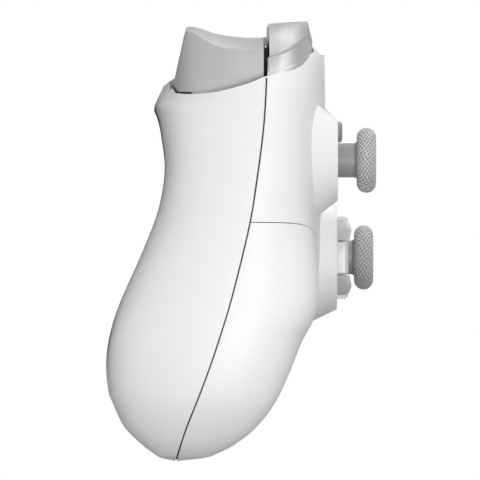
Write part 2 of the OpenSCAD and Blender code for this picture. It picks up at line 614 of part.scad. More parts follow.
// Shoulder keys
module trigger() difference() {
    y = trigger_pivot[0];
    z = trigger_pivot[1];
    union() {
        difference() {
            trigger_shape(0, 35.2);
            trigger_shape(-key_wall, 34);
        }
        rod_x(trigger_in + 0.5, trigger_in + 3.4, y, z, pin_d / 2 + 1.3);
        rod_x(ear_x[1] + ear_t + 1, key_end, y, z, pin_d / 2 + 1.3);
    }
    rod_x(trigger_in - 1, key_end - 1.1, y, z, pin_d / 2 + pin_gap);
    box([trigger_in + 3.5, 30, -21.3], [ear_x[1] + ear_t + 0.9, 41, -17]);
    prism_x(30, 80, [[30, -42], [38, -42], [38, -40.1], [36, -38.8], [35.9, -35.5], [30, -35.5]]);
    prism_x(30, 80, [[38.4, -18], [34, -17], [34, -18 - 4.4 * tan(trigger_pull + 12)]]);
}
module left_trigger() color([0.62, 0.62, 0.62]) mirror([1, 0, 0]) trigger();
module right_trigger() color([0.62, 0.62, 0.62]) trigger();
module trigger_pins() color("silver") sides()
    rod_x(trigger_in + 0.2, key_end - 1.3, trigger_pivot[0], trigger_pivot[1], pin_d / 2);
module trigger_spring() {
    r = pin_d / 2 + 0.75;
    first = ear_x[0] + ear_t + ear_room * 0.4 / 1.86;
    wide = ear_room * 1 / 1.86;
    turns = max(floor(wide / 0.95), 1);
    path = concat([[first - 0.6, 4, -r - 1.6]], [for (k = [0:8 * turns])
        [first + wide * k / turns / 8, r * cos(45 * k), r * sin(45 * k)]],
        [[first + wide + 0.2, 7, -3.5]]);
    n = len(path);
    rings = [for (i = [0:n - 1]) let (p = path[i], d = unit(path[min(i + 1, n - 1)]
        - path[max(i - 1, 0)]), a = unit(cross(d, [1, 0.2, 0])), b = cross(d, a))
        [for (k = [0:5]) p + 0.3 * (cos(60 * k) * a + sin(60 * k) * b)]];
    translate([0, trigger_pivot[0], trigger_pivot[1]]) loft(rings);
}
module left_trigger_spring() color("silver") mirror([1, 0, 0]) trigger_spring();
module right_trigger_spring() color("silver") trigger_spring();
module trigger_magnet() rod_x(trigger_in + key_wall, trigger_in + key_wall + 2, 44, -31, 2);
module left_trigger_magnet() color("dimgray") mirror([1, 0, 0]) trigger_magnet();
module right_trigger_magnet() color("dimgray") trigger_magnet();
module trigger_sensors() color([0.1, 0.1, 0.11]) sides()
    box([trigger_in + 7, 30.5, board_low - 1.2], [trigger_in + 11, 34.2, board_low]);

module bumper() difference() {
    union() {
        difference() {
            bumper_shape(0, 38);
            bumper_shape(-key_wall, 36);
        }
        rod_z(-16.2, -8.2, bumper_pivot[0], bumper_pivot[1], pin_d / 2 + 1.2);
        box([bumper_in + 0.4, 42, -15.5], [bumper_pivot[0] + 0.5, 50, -9.5]);
        box([tip_x, 38.4, -15.4], [tip_x + 2, 48, -12.4]);
    }
    rod_z(-20, -9, bumper_pivot[0], bumper_pivot[1], pin_d / 2 + pin_gap);
    band_shape(0.03);
}
function band_ring(z, g) = let (b = curve(bumper_end, z) * stretch, c = curve(bumper_corner, z))
    [[b + g * 8, 37, z], [b + g * 8, c - 0.9 + g, z], [b - band - g, c - 0.9 + g, z],
    [b - band - g, 37, z]];
module band_shape(g) intersection() {
    loft([for (z = bumper_levels) if (z < -7) band_ring(z, g)]);
    box([44 * stretch, 38.2 - g * 10, -17], [70 * stretch, 60, -8.1 + g]);
}
module left_bumper() color([0.7, 0.7, 0.7]) mirror([1, 0, 0]) bumper();
module right_bumper() color([0.7, 0.7, 0.7]) bumper();
module left_bumper_band() color([0.86, 0.87, 0.88]) mirror([1, 0, 0]) band_shape(0);
module right_bumper_band() color([0.86, 0.87, 0.88]) band_shape(0);
module bumper_pins() color("silver") sides()
    rod_z(carrier_z[0], -9.3, bumper_pivot[0], bumper_pivot[1], pin_d / 2);
module bumper_switches() color([0.2, 0.2, 0.21]) sides() {
    box([tip_x - 1.5, 36.3, carrier_z[1]], [tip_x + 2.8, 37, -11.9]);
    box([tip_x + 0.2, 37, -14.8], [tip_x + 1.8, 37.2, -12.6]);
}

// Stick module, drawn about its tilt centre
module at_stick(s) translate([s < 0 ? left_stick_x : right_stick_x,
    s < 0 ? left_stick_y : right_stick_y, -pivot_depth]) children();
module stick_cap() {
    low = pivot_depth + cap_lift;
    r = cap_t / 2;
    difference() {
        rotate_extrude($fn = 64) polygon(concat([[0, low], [cap_d / 2 - r, low]],
            [for (a = [-75:15:75]) [cap_d / 2 - r + r * cos(a), low + r + r * sin(a)]],
            [[cap_d / 2 - r, low + cap_t], [cap_d / 2 - r - 1.4, low + cap_t - 0.5],
            [0, low + cap_t - 1.1]]));
        translate([0, 0, low - 1]) cylinder(r = 2.05, h = 2.6);
    }
}
module stick_stem() {
    low = pivot_depth + cap_lift;
    inner = dome_r - dome_wall;
    foot = module_h - 1 - click_travel - 1.8;
    translate([0, 0, -foot]) cylinder(r = shaft_r, h = foot + dome_r);
    translate([0, 0, inner + 0.3]) cylinder(d = stem_d, h = low - inner - 0.3);
    translate([0, 0, low - 0.5]) cylinder(r = 2, h = 2);
    rotate_extrude($fn = 64) polygon(concat([for (a = [0:6:72]) dome_r * [sin(a), cos(a)]],
        [for (a = [72:-6:0]) inner * [sin(a), cos(a)]]));
}
module stick_housing() {
    h = module_h;
    difference() {
        box([-6.5, -6.5, -h], [6.5, 6.5, 2.2]);
        box([-5.3, -5.3, -h + 1], [5.3, 5.3, 3]);
        rod_x(-8, 8, 0, 0, 1 + pin_gap);
    }
}
module stick_yoke() difference() {
    union() {
        box([-4.8, -4.8, -1], [4.8, 4.8, 1]);
        rod_x(-6.4, 6.4, 0, 0, 1);
    }
    box([-3.5, -3.5, -2], [3.5, 3.5, 2]);
    rod_y(-6, 6, 0, 0, 0.75 + pin_gap);
}
module stick_rocker() difference() {
    union() {
        box([-2.7, -3, -1.2], [2.7, 3, 1.2]);
        rod_y(-4.7, 4.7, 0, 0, 0.75);
    }
    translate([0, 0, -2]) cylinder(r = shaft_r + pin_gap, h = 4);
}
module left_stick_cap() color([0.55, 0.55, 0.53]) at_stick(-1) stick_cap();
module right_stick_cap() color([0.55, 0.55, 0.53]) at_stick(1) stick_cap();
module left_stick_stem() color([0.5, 0.5, 0.49]) at_stick(-1) stick_stem();
module right_stick_stem() color([0.5, 0.5, 0.49]) at_stick(1) stick_stem();
module left_stick_housing() color([0.2, 0.2, 0.22]) at_stick(-1) stick_housing();
module right_stick_housing() color([0.2, 0.2, 0.22]) at_stick(1) stick_housing();
module left_stick_yoke() color("silver") at_stick(-1) stick_yoke();
module right_stick_yoke() color("silver") at_stick(1) stick_yoke();
module left_stick_rocker() color([0.75, 0.75, 0.7]) at_stick(-1) stick_rocker();
module right_stick_rocker() color([0.75, 0.75, 0.7]) at_stick(1) stick_rocker();

// Cross pad, drawn about the middle of its boss
module cross_bar() {
    r = cross_span / 2;
    dip = cross_arm / 2 - 0.4;
    rotate([90, 0, 90]) translate([0, 0, -cross_arm / 2]) linear_extrude(cross_arm)
        polygon([[-r, -1], [-r, arm_rise - 0.75], [-r + 0.75, arm_rise], [-dip, arm_rise - 0.5],
        [0, arm_rise - 0.9], [dip, arm_rise - 0.5], [r - 0.75, arm_rise],
        [r, arm_rise - 0.75], [r, -1]]);
}
// Lobe between two arms: its rim peaks half way and its top falls toward the middle
module cross_lobe() {
    e = cross_arm / 2 + cross_groove;
    r = cross_span / 2;
    spread = 45 - asin(e / r);
    bevel = 0.55;
    ring = [for (k = [-2:2]) [45 + spread * k / 2, cross_rise - 0.3 * abs(k)]];
    points = concat([[e, e, -1], [e, e, 1.2]],
        [for (q = ring) [r * cos(q[0]), r * sin(q[0]), -1]],
        [for (q = ring) [r * cos(q[0]), r * sin(q[0]), q[1] - 0.95]],
        [for (q = ring) [max((r - bevel) * cos(q[0]), e), max((r - bevel) * sin(q[0]), e), q[1]]]);
    polyhedron(points, concat([[0, 2, 3, 4, 5, 6], [0, 1, 12, 7, 2], [0, 6, 11, 16, 1]],
        [for (k = [0:3]) each [[7 + k, 8 + k, 3 + k, 2 + k], [12 + k, 13 + k, 8 + k, 7 + k],
            [1, 13 + k, 12 + k]]]), convexity = 4);
}
module cross_pad() color([0.76, 0.77, 0.78]) translate([cross_x, cross_y, 0]) difference() {
    union() {
        cross_bar();
        rotate([0, 0, 90]) cross_bar();
        for (a = [0:90:270]) rotate([0, 0, a]) cross_lobe();
        rod_z(-1, 0.5, 0, 0, cross_span / 2 - 0.4);
        rod_z(-6, 0, 0, 0, 4.5);
        rod_z(-6.4, -5.2, 0, 0, 10.1);
        for (a = [0:90:270]) rotate([0, 0, a]) rod_z(-13.6, -6, foot_at, 0, 2.2);
        for (s = [-1, 1]) box([-1.4, s * 4 - 0.8, cross_z - 1.6], [1.4, s * 4 + 0.8, -6]);
    }
    rod_y(-6, 6, 0, cross_z, 0.8 + pin_gap);
}
module cross_pivot() color("silver") translate([cross_x, cross_y, 0]) {
    rod_x(-4.8, 4.8, 0, cross_z, 0.8);
    rod_y(-4.8, 4.8, 0, cross_z, 0.8);
}
module cross_posts() color([0.2, 0.2, 0.22]) translate([cross_x, cross_y, 0]) difference() {
    for (s = [-1, 1]) box([s * 4 - 0.8, -1.4, board_top], [s * 4 + 0.8, 1.4, cross_z + 1.6]);
    rod_x(-6, 6, 0, cross_z, 0.8 + pin_gap);
}
module dome_mat(r, top, low_r, top_r, places, cut) difference() {
    union() {
        rod_z(board_top, board_top + mat_t, 0, 0, r);
        for (p = places) {
            rod_z(board_top, board_top + mat_t, p[0], p[1], low_r + 0.9);
            translate([p[0], p[1], board_top])
                cylinder(r1 = low_r, r2 = top_r, h = top - board_top);
        }
    }
    for (p = places) translate([p[0], p[1], board_top - 0.5])
        cylinder(r1 = low_r - 0.8, r2 = top_r - 0.6, h = top - board_top - 0.6);
    if (cut > 0) box([-cut, -1.8, board_top - 1], [cut, 1.8, board_top + 2]);
}
module cross_mat() color([0.8, 0.8, 0.78]) translate([cross_x, cross_y, 0])
    dome_mat(11.4, -13.9, 2.8, 2, [for (a = [0:90:270]) foot_at * [cos(a), sin(a)]], 5);

// Buttons
module button(p, top, r, flange, flange_top, low) translate([p[0], p[1], 0]) {
    rotate_extrude($fn = 64) polygon([[0, top], [r - 1.5, top - 0.12], [r - 0.4, top - 0.5],
        [r, top - 1.1], [r, flange_top], [flange, flange_top], [flange, flange_top - 1.2],
        [0, flange_top - 1.2]]);
    if (low < flange_top - 1.2) rod_z(low, flange_top - 1, 0, 0, min(r, 1.8));
}
module face_button(i) let (p = button_place(i)) button(p, face_z(p[0], p[1]) + button_rise,
    button_d / 2, button_d / 2 + 1, flange_z, flange_z);
module face_button_right() color([0.72, 0.72, 0.72]) face_button(0);
module face_button_upper() color([0.72, 0.72, 0.72]) face_button(1);
module face_button_left() color([0.72, 0.72, 0.72]) face_button(2);
module face_button_lower() color([0.72, 0.72, 0.72]) face_button(3);
module face_button_mat() color([0.8, 0.8, 0.78]) translate([face_x, face_y, 0])
    dome_mat(11, flange_z - 1.5, 4.4, 2.6, [for (i = [0:3]) button_place(i) - [face_x, face_y]],
    0);
module home_button() color([0.8, 0.8, 0.8])
    button(home_place, -2.75, home_d / 2, home_d / 2 + 0.8, -5.9, stem_low);
module home_light_ring() color([0.93, 0.94, 0.95]) translate([home_place[0], home_place[1], 0])
    difference() {
    rod_z(-5.6, -2.8, 0, 0, home_d / 2 + key_gap + ring_w);
    rod_z(-6, -2, 0, 0, home_d / 2 + key_gap);
}
module left_function_button() color([0.55, 0.55, 0.55])
    button([-small_x, small_y], small_rise, small_d / 2, small_d / 2 + 0.9, -5, stem_low);
module right_function_button() color([0.55, 0.55, 0.55])
    button([small_x, small_y], small_rise, small_d / 2, small_d / 2 + 0.9, -5, stem_low);
module capture_button() color([0.55, 0.55, 0.55])
    button(capture_place, 0.3, capture_d / 2, capture_d / 2 + 0.8, -5, stem_low);
module tact_switches() color([0.15, 0.15, 0.16])
    for (p = concat(small_places(), [capture_place, home_place])) {
        box([p[0] - 2.2, p[1] - 2.2, board_top], [p[0] + 2.2, p[1] + 2.2, board_top + 1.6]);
        rod_z(board_top + 1.6, switch_top, p[0], p[1], 1.2);
    }

// The whole pad lies on its back on the table
module rest() translate([0, rest_shift, rest_lift]) rotate([rest_tilt, 0, 0]) children();
rest() front_cover();
rest() left_grip_panel();
rest() right_grip_panel();
rest() rear_cover();
rest() inner_frame();
rest() main_board();
rest() board_chips();
rest() battery();
rest() left_rumble_motor();
rest() right_rumble_motor();
rest() left_rumble_weight();
rest() right_rumble_weight();
rest() usb_c_socket();
rest() headset_jack();
rest() case_screws();
rest() left_trigger();
rest() right_trigger();
rest() trigger_pins();
rest() left_trigger_spring();
rest() right_trigger_spring();
rest() left_trigger_magnet();
rest() right_trigger_magnet();
rest() trigger_sensors();
rest() left_bumper();
rest() right_bumper();
rest() left_bumper_band();
rest() right_bumper_band();
rest() bumper_pins();
rest() bumper_switches();
rest() left_stick_cap();
rest() right_stick_cap();
rest() left_stick_stem();
rest() right_stick_stem();
rest() left_stick_housing();
rest() right_stick_housing();
rest() left_stick_yoke();
rest() right_stick_yoke();
rest() left_stick_rocker();
rest() right_stick_rocker();
rest() cross_pad();
rest() cross_pivot();
rest() cross_posts();
rest() cross_mat();
rest() face_button_upper();
rest() face_button_lower();
rest() face_button_left();
rest() face_button_right();
rest() face_button_mat();
rest() home_button();
rest() home_light_ring();
rest() left_function_button();
rest() right_function_button();
rest() capture_button();
rest() tact_switches();
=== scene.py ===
"""A wireless gamepad with offset sticks, lying on its back and seen from its left side."""
import bmesh
import bpy
import json
import math
import numpy as np
from mathutils import Matrix, Vector
from mathutils.bvhtree import BVHTree
from mathutils.interpolate import poly_3d_calc

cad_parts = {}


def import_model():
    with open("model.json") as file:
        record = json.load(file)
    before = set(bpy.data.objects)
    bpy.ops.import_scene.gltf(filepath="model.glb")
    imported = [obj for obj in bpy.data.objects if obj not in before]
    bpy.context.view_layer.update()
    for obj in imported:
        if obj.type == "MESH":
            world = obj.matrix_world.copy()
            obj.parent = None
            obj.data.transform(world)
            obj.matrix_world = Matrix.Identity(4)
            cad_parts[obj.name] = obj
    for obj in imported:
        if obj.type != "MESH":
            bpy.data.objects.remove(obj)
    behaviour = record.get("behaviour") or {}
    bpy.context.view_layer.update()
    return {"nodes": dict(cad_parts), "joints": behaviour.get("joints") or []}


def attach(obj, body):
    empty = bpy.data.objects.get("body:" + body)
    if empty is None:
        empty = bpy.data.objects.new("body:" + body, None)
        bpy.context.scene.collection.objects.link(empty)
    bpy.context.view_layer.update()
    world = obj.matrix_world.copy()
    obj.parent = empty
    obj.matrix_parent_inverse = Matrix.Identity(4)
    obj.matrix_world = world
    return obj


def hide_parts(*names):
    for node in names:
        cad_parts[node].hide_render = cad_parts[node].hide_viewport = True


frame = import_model()

# Face frame: millimetres, Y toward the shoulders and Z out of the face, as the pad is drawn
JOINTS = {j["name"]: j for j in frame["joints"]}
FACE_AXIS = JOINTS["left_stick_click"]["axis"]
TILT = -math.atan2(FACE_AXIS[1], FACE_AXIS[2])
LEFT_STICK = (-41, 19.4)
RIGHT_STICK = (20, -4.3)
PIVOT_DEPTH = 12.5
PIVOT = JOINTS["left_stick_forward"]["pos_m"]
COS, SIN = math.cos(TILT), math.sin(TILT)
SHIFT = PIVOT[1] * 1000 - LEFT_STICK[1] * COS - PIVOT_DEPTH * SIN
LIFT = PIVOT[2] * 1000 - LEFT_STICK[1] * SIN + PIVOT_DEPTH * COS


def to_row(points):
    """Points of the face frame in mm as points of the row frame in metres."""
    p = np.asarray(points, float)
    x, y, z = p[..., 0], p[..., 1], p[..., 2]
    return np.stack([x, y * COS - z * SIN + SHIFT, y * SIN + z * COS + LIFT], -1) / 1000


def row_direction(x, y, z):
    return Vector((x, y * COS - z * SIN, y * SIN + z * COS))


# Sizes, as in the part's source
SIDES = ("left", "right")
WALL = 2
PARTING = 0.4
SEAM = 0.2
# Gap within which a face counts as lying on a skin
ON_SKIN = 0.03
CROWN = 0.0011
# Each station: x and y on the shoulder edge, x and y on the grip edge, and both squarenesses
STATIONS = np.array([
    [0, 49.5, 0, -24.5, 15, 9],
    [22, 49.5, 13, -24.8, 15, 9],
    [44, 48.5, 24, -25.8, 10, 7],
    [58, 44, 32, -28, 5.2, 4.6],
    [67, 33, 37.5, -31.5, 3.4, 3.4],
    [72, 14, 41.5, -35.6, 2.5, 2.8],
    [75.5, -7, 45, -39.8, 2.2, 2.5],
    [77.8, -25, 48.8, -44, 2.1, 2.4],
    [77.2, -38, 53, -48, 2.1, 2.2],
    [73.5, -47, 57.6, -51.2, 2.1, 2.1],
    [69.4, -51.6, 61, -52.9, 2, 2],
    [65, -53.4, 65, -53.4, 2, 2]])
LAST = len(STATIONS) - 1
GRIP_END = STATIONS[-1][1]
FACE_LINE = [[-53.4, -39.4], [-52.6, -32.4], [-51.5, -29.2], [-49.5, -25.3], [-45.6, -20.3],
             [-39.7, -15.6], [-31.9, -11.8], [-24, -8.6], [-20.1, -6.4], [-16, -5.1], [-6, -3.8],
             [6, -2.9], [20, -2.7], [50, -2.7]]
BACK_LINE = [[-53.4, -39.4], [-52.6, -43], [-51.5, -44.8], [-49.5, -47.5], [-45.6, -51.5],
             [-41.7, -53.7], [-37.7, -55.4], [-30.6, -56.23], [-24, -55.57], [-16.2, -53.2],
             [-4.4, -48], [5.4, -44.1], [11.3, -42.6], [17.2, -41.9], [21, -42.1], [25, -42.7],
             [27.5, -43.1], [29.4, -43.6], [30.6, -44.0], [31.3, -44.34], [31.9, -44.53],
             [32.6, -44.46], [34.8, -43.6], [36.8, -42.6], [37.7, -42.2], [40, -39.2], [44, -36],
             [50, -33.5]]
PARTING_LINE = [[-53.4, -39.4], [-46.3, -37.2], [-38.4, -34.1], [-30.1, -31], [-20.7, -27.9],
                [-14.7, -26.1], [-2.5, -23], [4.1, -21.5], [9.8, -20.5], [27, -18.2],
                [39.7, -17.4], [50, -17]]
RIM_LINE = [[37.7, -41], [37.7, -40.4], [35.5, -39.2], [35.3, -35.8], [35.8, -29.6],
            [37.7, -22.3], [39.4, -18.1], [39.7, -16.9], [41.5, -12.7], [43.3, -9.8],
            [45.1, -7.6], [47.2, -5.9], [48.2, -5.3], [60, -4]]
SEAM_LINE = [[90, 4.4], [72, 4.2], [62, 3.3], [52, 1.2], [44, -0.6], [38.5, -3.5], [36, -8],
             [33.5, -13.5], [31, -24], [31, -70]]
TRIGGER_IN = 37
TRIGGER_END = [[-40.2, 51.5], [-39.2, 53.6], [-38, 56], [-36, 58.2], [-33, 59.6], [-26, 60.4],
               [-18.1, 60]]
TRIGGER_CORNER = [[-40.2, 36.3], [-37, 49.9], [-36.4, 50.6], [-34.5, 50.2], [-29.6, 47.5],
                  [-23.5, 46.3], [-18.1, 46.3]]
TRIGGER_TOP = [[-40.2, 36.4], [-37, 50.9], [-36.6, 51.8], [-34.3, 51.7], [-29.6, 50.2],
               [-24.7, 49.4], [-18.1, 49]]
TRIGGER_LEVELS = [-40.2, -39.2, -38.1, -37, -36.6, -35.8, -34.3, -31.8, -29.6, -27, -24, -21,
                  -18.1]
TRIGGER_PIVOT = (38, -21.5)
TRIGGER_PULL = 18
BUMPER_IN = 21.3
BUMPER_END = [[-16.7, 61.6], [-14, 60], [-12.7, 58.6], [-11, 56], [-9.8, 53.4], [-8.8, 50.4],
              [-7.6, 44.5], [-6.9, 38], [-6.1, 31]]
BUMPER_CORNER = [[-16.7, 45.2], [-15.9, 45.4], [-12.7, 46.4], [-10.5, 47.9], [-8.7, 49.1],
                 [-7.35, 50], [-6.9, 49.5], [-6.1, 48.6]]
BUMPER_TOP = [[-16.7, 52.6], [-7.4, 53.3], [-7.1, 53.0], [-6.7, 51.2], [-6.1, 49]]
BUMPER_PIVOT = (BUMPER_IN + 2.6, 41.5)
BAND = 0.8
KEY_WALL = 1.6
KEY_GAP = 0.3
PIN_D = 2
PIN_GAP = 0.05
STICK_HOLE_R = 8.95
DOME_R = PIVOT_DEPTH - 1.6
CAP_D = 15.8
CAP_T = 4.7
CAP_LIFT = 4.62
CAP_UNDER_R = 4.4
CAP_DISH = 1.15
STEM_D = 8.3
CROSS = (-20, -4.3)
CROSS_SPAN = 20.1
CROSS_ARM = 7.7
ARM_RISE = 2.7
CROSS_RISE = 3.55
CROSS_GROOVE = 0.4
CROSS_BOSS_D = 25.4
DISH_DEPTH = 2.2
FACE_BUTTONS = (41, 19.4)
FACE_PITCH = 10.3
BUTTON_D = 10.4
BUTTON_RISE = 1.95
SMALL_D = 5.1
SMALL_RISE = 1.5
SMALL_PLACES = [(-9.5, 26.4), (9.5, 26.4)]
CAPTURE = (0, 18.6)
CAPTURE_D = 4.4
HOME = (0, 38)
HOME_D = 12
HOME_TOP = -2.7
HOME_SEAT = -5.9
SMALL_SEAT = -5
RING_W = 1
PLATEAU_Z = -0.5
# Levels under the face where cutters for the openings start
HOLE_LOW = -14
MAT_LOW = -12
SMALL_LOW = -8
CROSS_NECK_R = 6.2
MAT_R = 11
# Start and end from the middle toward the grips, and radius
JACK_OPENING = (19.5, 28, 3.3)
BOARD_TOP = -18
BOARD_LOW = -19.2
FLANGE_Z = -12
SCREWS = [(0, 5, -22), (30.3, 32.9, -22), (-30.3, 32.9, -22), (64, -40, -36), (-64, -40, -36)]
SCREW_D = 2.5
SCREW_HOLE_R = SCREW_D / 2 + 0.02
POST_R = SCREW_D / 2 + 1.65
USB = (8.94, 7.35, 3.26)
# Place, top and foot diameters, and depth of each raised seat on the face
BOSSES = ((LEFT_STICK, 20, 33, 8.5), (RIGHT_STICK, 20, 30, 7), (CROSS, CROSS_BOSS_D, 32.2, 7))
SWITCH_TOP = BOARD_TOP + 2.2
BAND_LOW = 38.6
KNURL_TURNS = 40
KNURL_DEPTH = 0.2


# Curves and surfaces
def curve(table, y):
    """Smooth curve through a table of [place, value]."""
    tab = np.asarray(table, float)
    y = np.asarray(y, float)
    place, value = tab[:, 0], tab[:, 1]
    n = len(tab)
    i = np.clip(np.searchsorted(place, y, side="right") - 1, 0, n - 2)
    low, high = np.maximum(np.arange(n) - 1, 0), np.minimum(np.arange(n) + 1, n - 1)
    rate = (value[high] - value[low]) / (place[high] - place[low])
    h = place[i + 1] - place[i]
    q = np.clip((y - place[i]) / h, 0, 1)
    m, k = rate[i] * h, rate[i + 1] * h
    return ((2 * q**3 - 3 * q**2 + 1) * value[i] + (q**3 - 2 * q**2 + q) * m
            + (3 * q**2 - 2 * q**3) * value[i + 1] + (q**3 - q**2) * k)


def bend(a, b, c, d, q):
    """Smooth step from b to c, steered by their neighbours a and d."""
    return 0.5 * (2 * b + (c - a) * q + (2 * a - 5 * b + 4 * c - d) * q**2
                  + (3 * b - a - 3 * c + d) * q**3)


def through(points, steps):
    """Smooth line through points in the plane or in space."""
    p = np.asarray(points, float)
    p = np.vstack([2 * p[0] - p[1], p, 2 * p[-1] - p[-2]])
    q = np.linspace(0, 1, steps, endpoint=False)[:, None]
    parts = [bend(*four, q) for four in zip(p[:-3], p[1:-2], p[2:-1], p[3:])]
    return np.vstack(parts + [p[-2][None]])


def ease(q):
    c = np.clip(q, 0, 1)
    return c * c * (3 - 2 * c)


PADDED = np.vstack([STATIONS[1] * [-1, 1, -1, 1, 1, 1], STATIONS,
                    2 * STATIONS[-1] - STATIONS[-2]])


def outline(t):
    """Station values at t, a number between 0 at the middle and LAST at a grip's end."""
    i = np.minimum(np.floor(t).astype(int), LAST - 1)
    return bend(*(PADDED[i + k] for k in range(4)), (t - i)[:, None])


def unit(v):
    return v / np.linalg.norm(v, axis=-1, keepdims=True)


def inset(t, w):
    """The outline moved inward by w."""
    s = outline(t)
    if w == 0:
        return s
    d = outline(np.minimum(t + 0.01, LAST)) - outline(np.maximum(t - 0.01, 0))
    u, v = unit(d[:, 0:2]), unit(d[:, 2:4])
    moved = s + np.c_[u[:, 1] * w, -u[:, 0] * w, -v[:, 1] * w, v[:, 0] * w, 0 * t, 0 * t]
    moved[t == 0, 0:4:2] = 0
    return moved


def reach(w):
    """How far the rows of a skin at inset w run before they close in its tip."""
    return LAST if w == 0 else LAST - 0.35 - 0.28 * w


def face_z(x, y):
    return curve(FACE_LINE, np.maximum(y, GRIP_END)) - CROWN * x * x * ease((y + 16) / 24)


def back_z(x, y):
    return curve(BACK_LINE, np.maximum(y, GRIP_END))


def skin(t, u, w, side, gap=PARTING / 2):
    """Grid of points on a cover's skin, side 1 for the front and -1 for the rear."""
    s = inset(np.abs(t), w)[:, None, :]
    u = u[None, :]
    f = (u + 1) / 2
    x = s[..., 2] + (s[..., 0] - s[..., 2]) * f
    y = s[..., 3] + (s[..., 1] - s[..., 3]) * f
    a, b = curve(PARTING_LINE, s[..., 3]), curve(PARTING_LINE, s[..., 1])
    base = a + (b - a) * f + side * gap
    top = face_z(x, y) - w if side > 0 else back_z(x, y) + w
    power = np.where(u > 0, s[..., 4], s[..., 5])
    arch = np.sqrt(np.maximum(1 - np.abs(u) ** power, 0))
    return np.stack([np.sign(t)[:, None] * x, y, base + (top - base) * arch], -1)


def sheet(rows, across, w, side, gap=PARTING / 2):
    """The whole skin from the left grip's tip to the right one's."""
    j = np.arange(1 - rows, rows)
    u = -np.cos(np.pi * np.arange(across + 1) / across)
    t = j / rows * reach(w)
    grid = skin(np.where(t == 0, 1e-9, t), u, w, side, gap)
    grid[rows - 1, :, 0] = 0
    return grid


def tip(w, side, s):
    """Point that closes a skin at the end of a grip."""
    t = np.array([reach(w)])
    ends = skin(t, np.array([-1.0, 1.0]), w, side)[0].mean(0) - [0, 0 if w == 0 else 0.4, 0]
    return ends * [s, 1, 1]


def grid_normals(grid):
    n = np.cross(*np.gradient(grid, axis=(0, 1)))
    return n / np.maximum(np.linalg.norm(n, axis=-1), 1e-9)[..., None]


def quads(rows, cols, start=0, wrap=False):
    faces = []
    for j in range(rows - 1):
        for k in range(cols if wrap else cols - 1):
            a, b = start + j * cols + k, start + j * cols + (k + 1) % cols
            faces.append((a, b, b + cols, a + cols))
    return faces


# Meshes
def flipped(faces):
    return [tuple(reversed(f)) for f in faces]


def end_faces(rows, cols):
    """The two faces that close a tube of quads."""
    return [tuple(reversed(range(cols))), tuple((rows - 1) * cols + k for k in range(cols))]


def new_object(name, data):
    obj = bpy.data.objects.new(name, data)
    bpy.context.scene.collection.objects.link(obj)
    return obj


def mesh_object(name, points, faces):
    mesh = bpy.data.meshes.new(name)
    mesh.from_pydata(np.asarray(points, float).tolist(), [], [list(f) for f in faces])
    mesh.polygons.foreach_set("use_smooth", [True] * len(mesh.polygons))
    return new_object(name, mesh)


def cover_solid(side, rows, across):
    """A cover as a thin wall from outer skin to inner skin, closed along the parting."""
    m = across + 1
    skins = [sheet(rows, across, w, side) for w in (0, WALL)]
    count = 2 * rows - 1
    n = count * m
    r = (count - 1) * m
    tips = [tip(0, side, -1), tip(0, side, 1), tip(WALL, side, -1), tip(WALL, side, 1)]
    faces = quads(count, m)
    faces += flipped(quads(count, m, n))
    for j in range(count - 1):
        a, b = j * m, j * m + m - 1
        faces += [(a, a + m, n + a + m, n + a), (b, n + b, n + b + m, b + m)]
    for k in range(m - 1):
        faces += [(2 * n, k + 1, k), (2 * n + 1, r + k, r + k + 1),
                  (2 * n + 2, n + k, n + k + 1), (2 * n + 3, n + r + k + 1, n + r + k)]
    faces += [(2 * n, 0, n, 2 * n + 2), (2 * n, 2 * n + 2, n + m - 1, m - 1),
              (2 * n + 1, 2 * n + 3, n + r, r),
              (2 * n + 1, r + m - 1, n + r + m - 1, 2 * n + 3)]
    points = np.vstack([skins[0].reshape(-1, 3), skins[1].reshape(-1, 3), tips])
    return mesh_object("cover", points, flipped(faces) if side > 0 else faces)


def filling_solid(side):
    """Solid from the middle of the wall to beyond the parting, to trim what is inside."""
    rows = across = 24
    m = across + 1
    grid = sheet(rows, across, WALL / 2, side, -3)
    count = 2 * rows - 1
    faces = quads(count, m)
    faces += [(j * m, j * m + m, j * m + 2 * m - 1, j * m + m - 1) for j in range(count - 1)]
    faces += end_faces(count, m)
    return recalculated(mesh_object("filling", grid.reshape(-1, 3), faces))


def recalculated(obj):
    """Turns all faces outward."""
    work = bmesh.new()
    work.from_mesh(obj.data)
    bmesh.ops.recalc_face_normals(work, faces=work.faces)
    work.to_mesh(obj.data)
    work.free()
    return obj


def loft(rings):
    """Solid through rings of equal point counts, closed at both ends."""
    rings = np.asarray(rings, float)
    m, n = rings.shape[:2]
    faces = quads(m, n, wrap=True) + end_faces(m, n)
    return recalculated(mesh_object("loft", rings.reshape(-1, 3), faces))


def lathe(profile, x=0, y=0, z=0, steps=96):
    """Solid of revolution about the face axis through x, y; profile is [radius, height]."""
    profile = np.asarray(profile, float)
    inner = [tuple(p) for p in profile if p[0] > 1e-6]
    a = 2 * np.pi * np.arange(steps) / steps
    points = [[x + r * np.cos(q), y + r * np.sin(q), z + h] for r, h in inner for q in a]
    n = len(inner)
    faces = quads(n, steps, wrap=True)
    if n == len(profile):
        faces += [((n - 1) * steps + k, (n - 1) * steps + (k + 1) % steps, (k + 1) % steps, k)
                  for k in range(steps)]
    else:
        low = len(points)
        points += [[x, y, z + profile[0][1]], [x, y, z + profile[-1][1]]]
        faces += [(low, (k + 1) % steps, k) for k in range(steps)]
        faces += [(low + 1, (n - 1) * steps + k, (n - 1) * steps + (k + 1) % steps)
                  for k in range(steps)]
    return recalculated(mesh_object("lathe", points, faces))


def rod(x, y, low, high, r):
    return lathe([[0, low], [r, low], [r, high], [0, high]], x, y, steps=64)


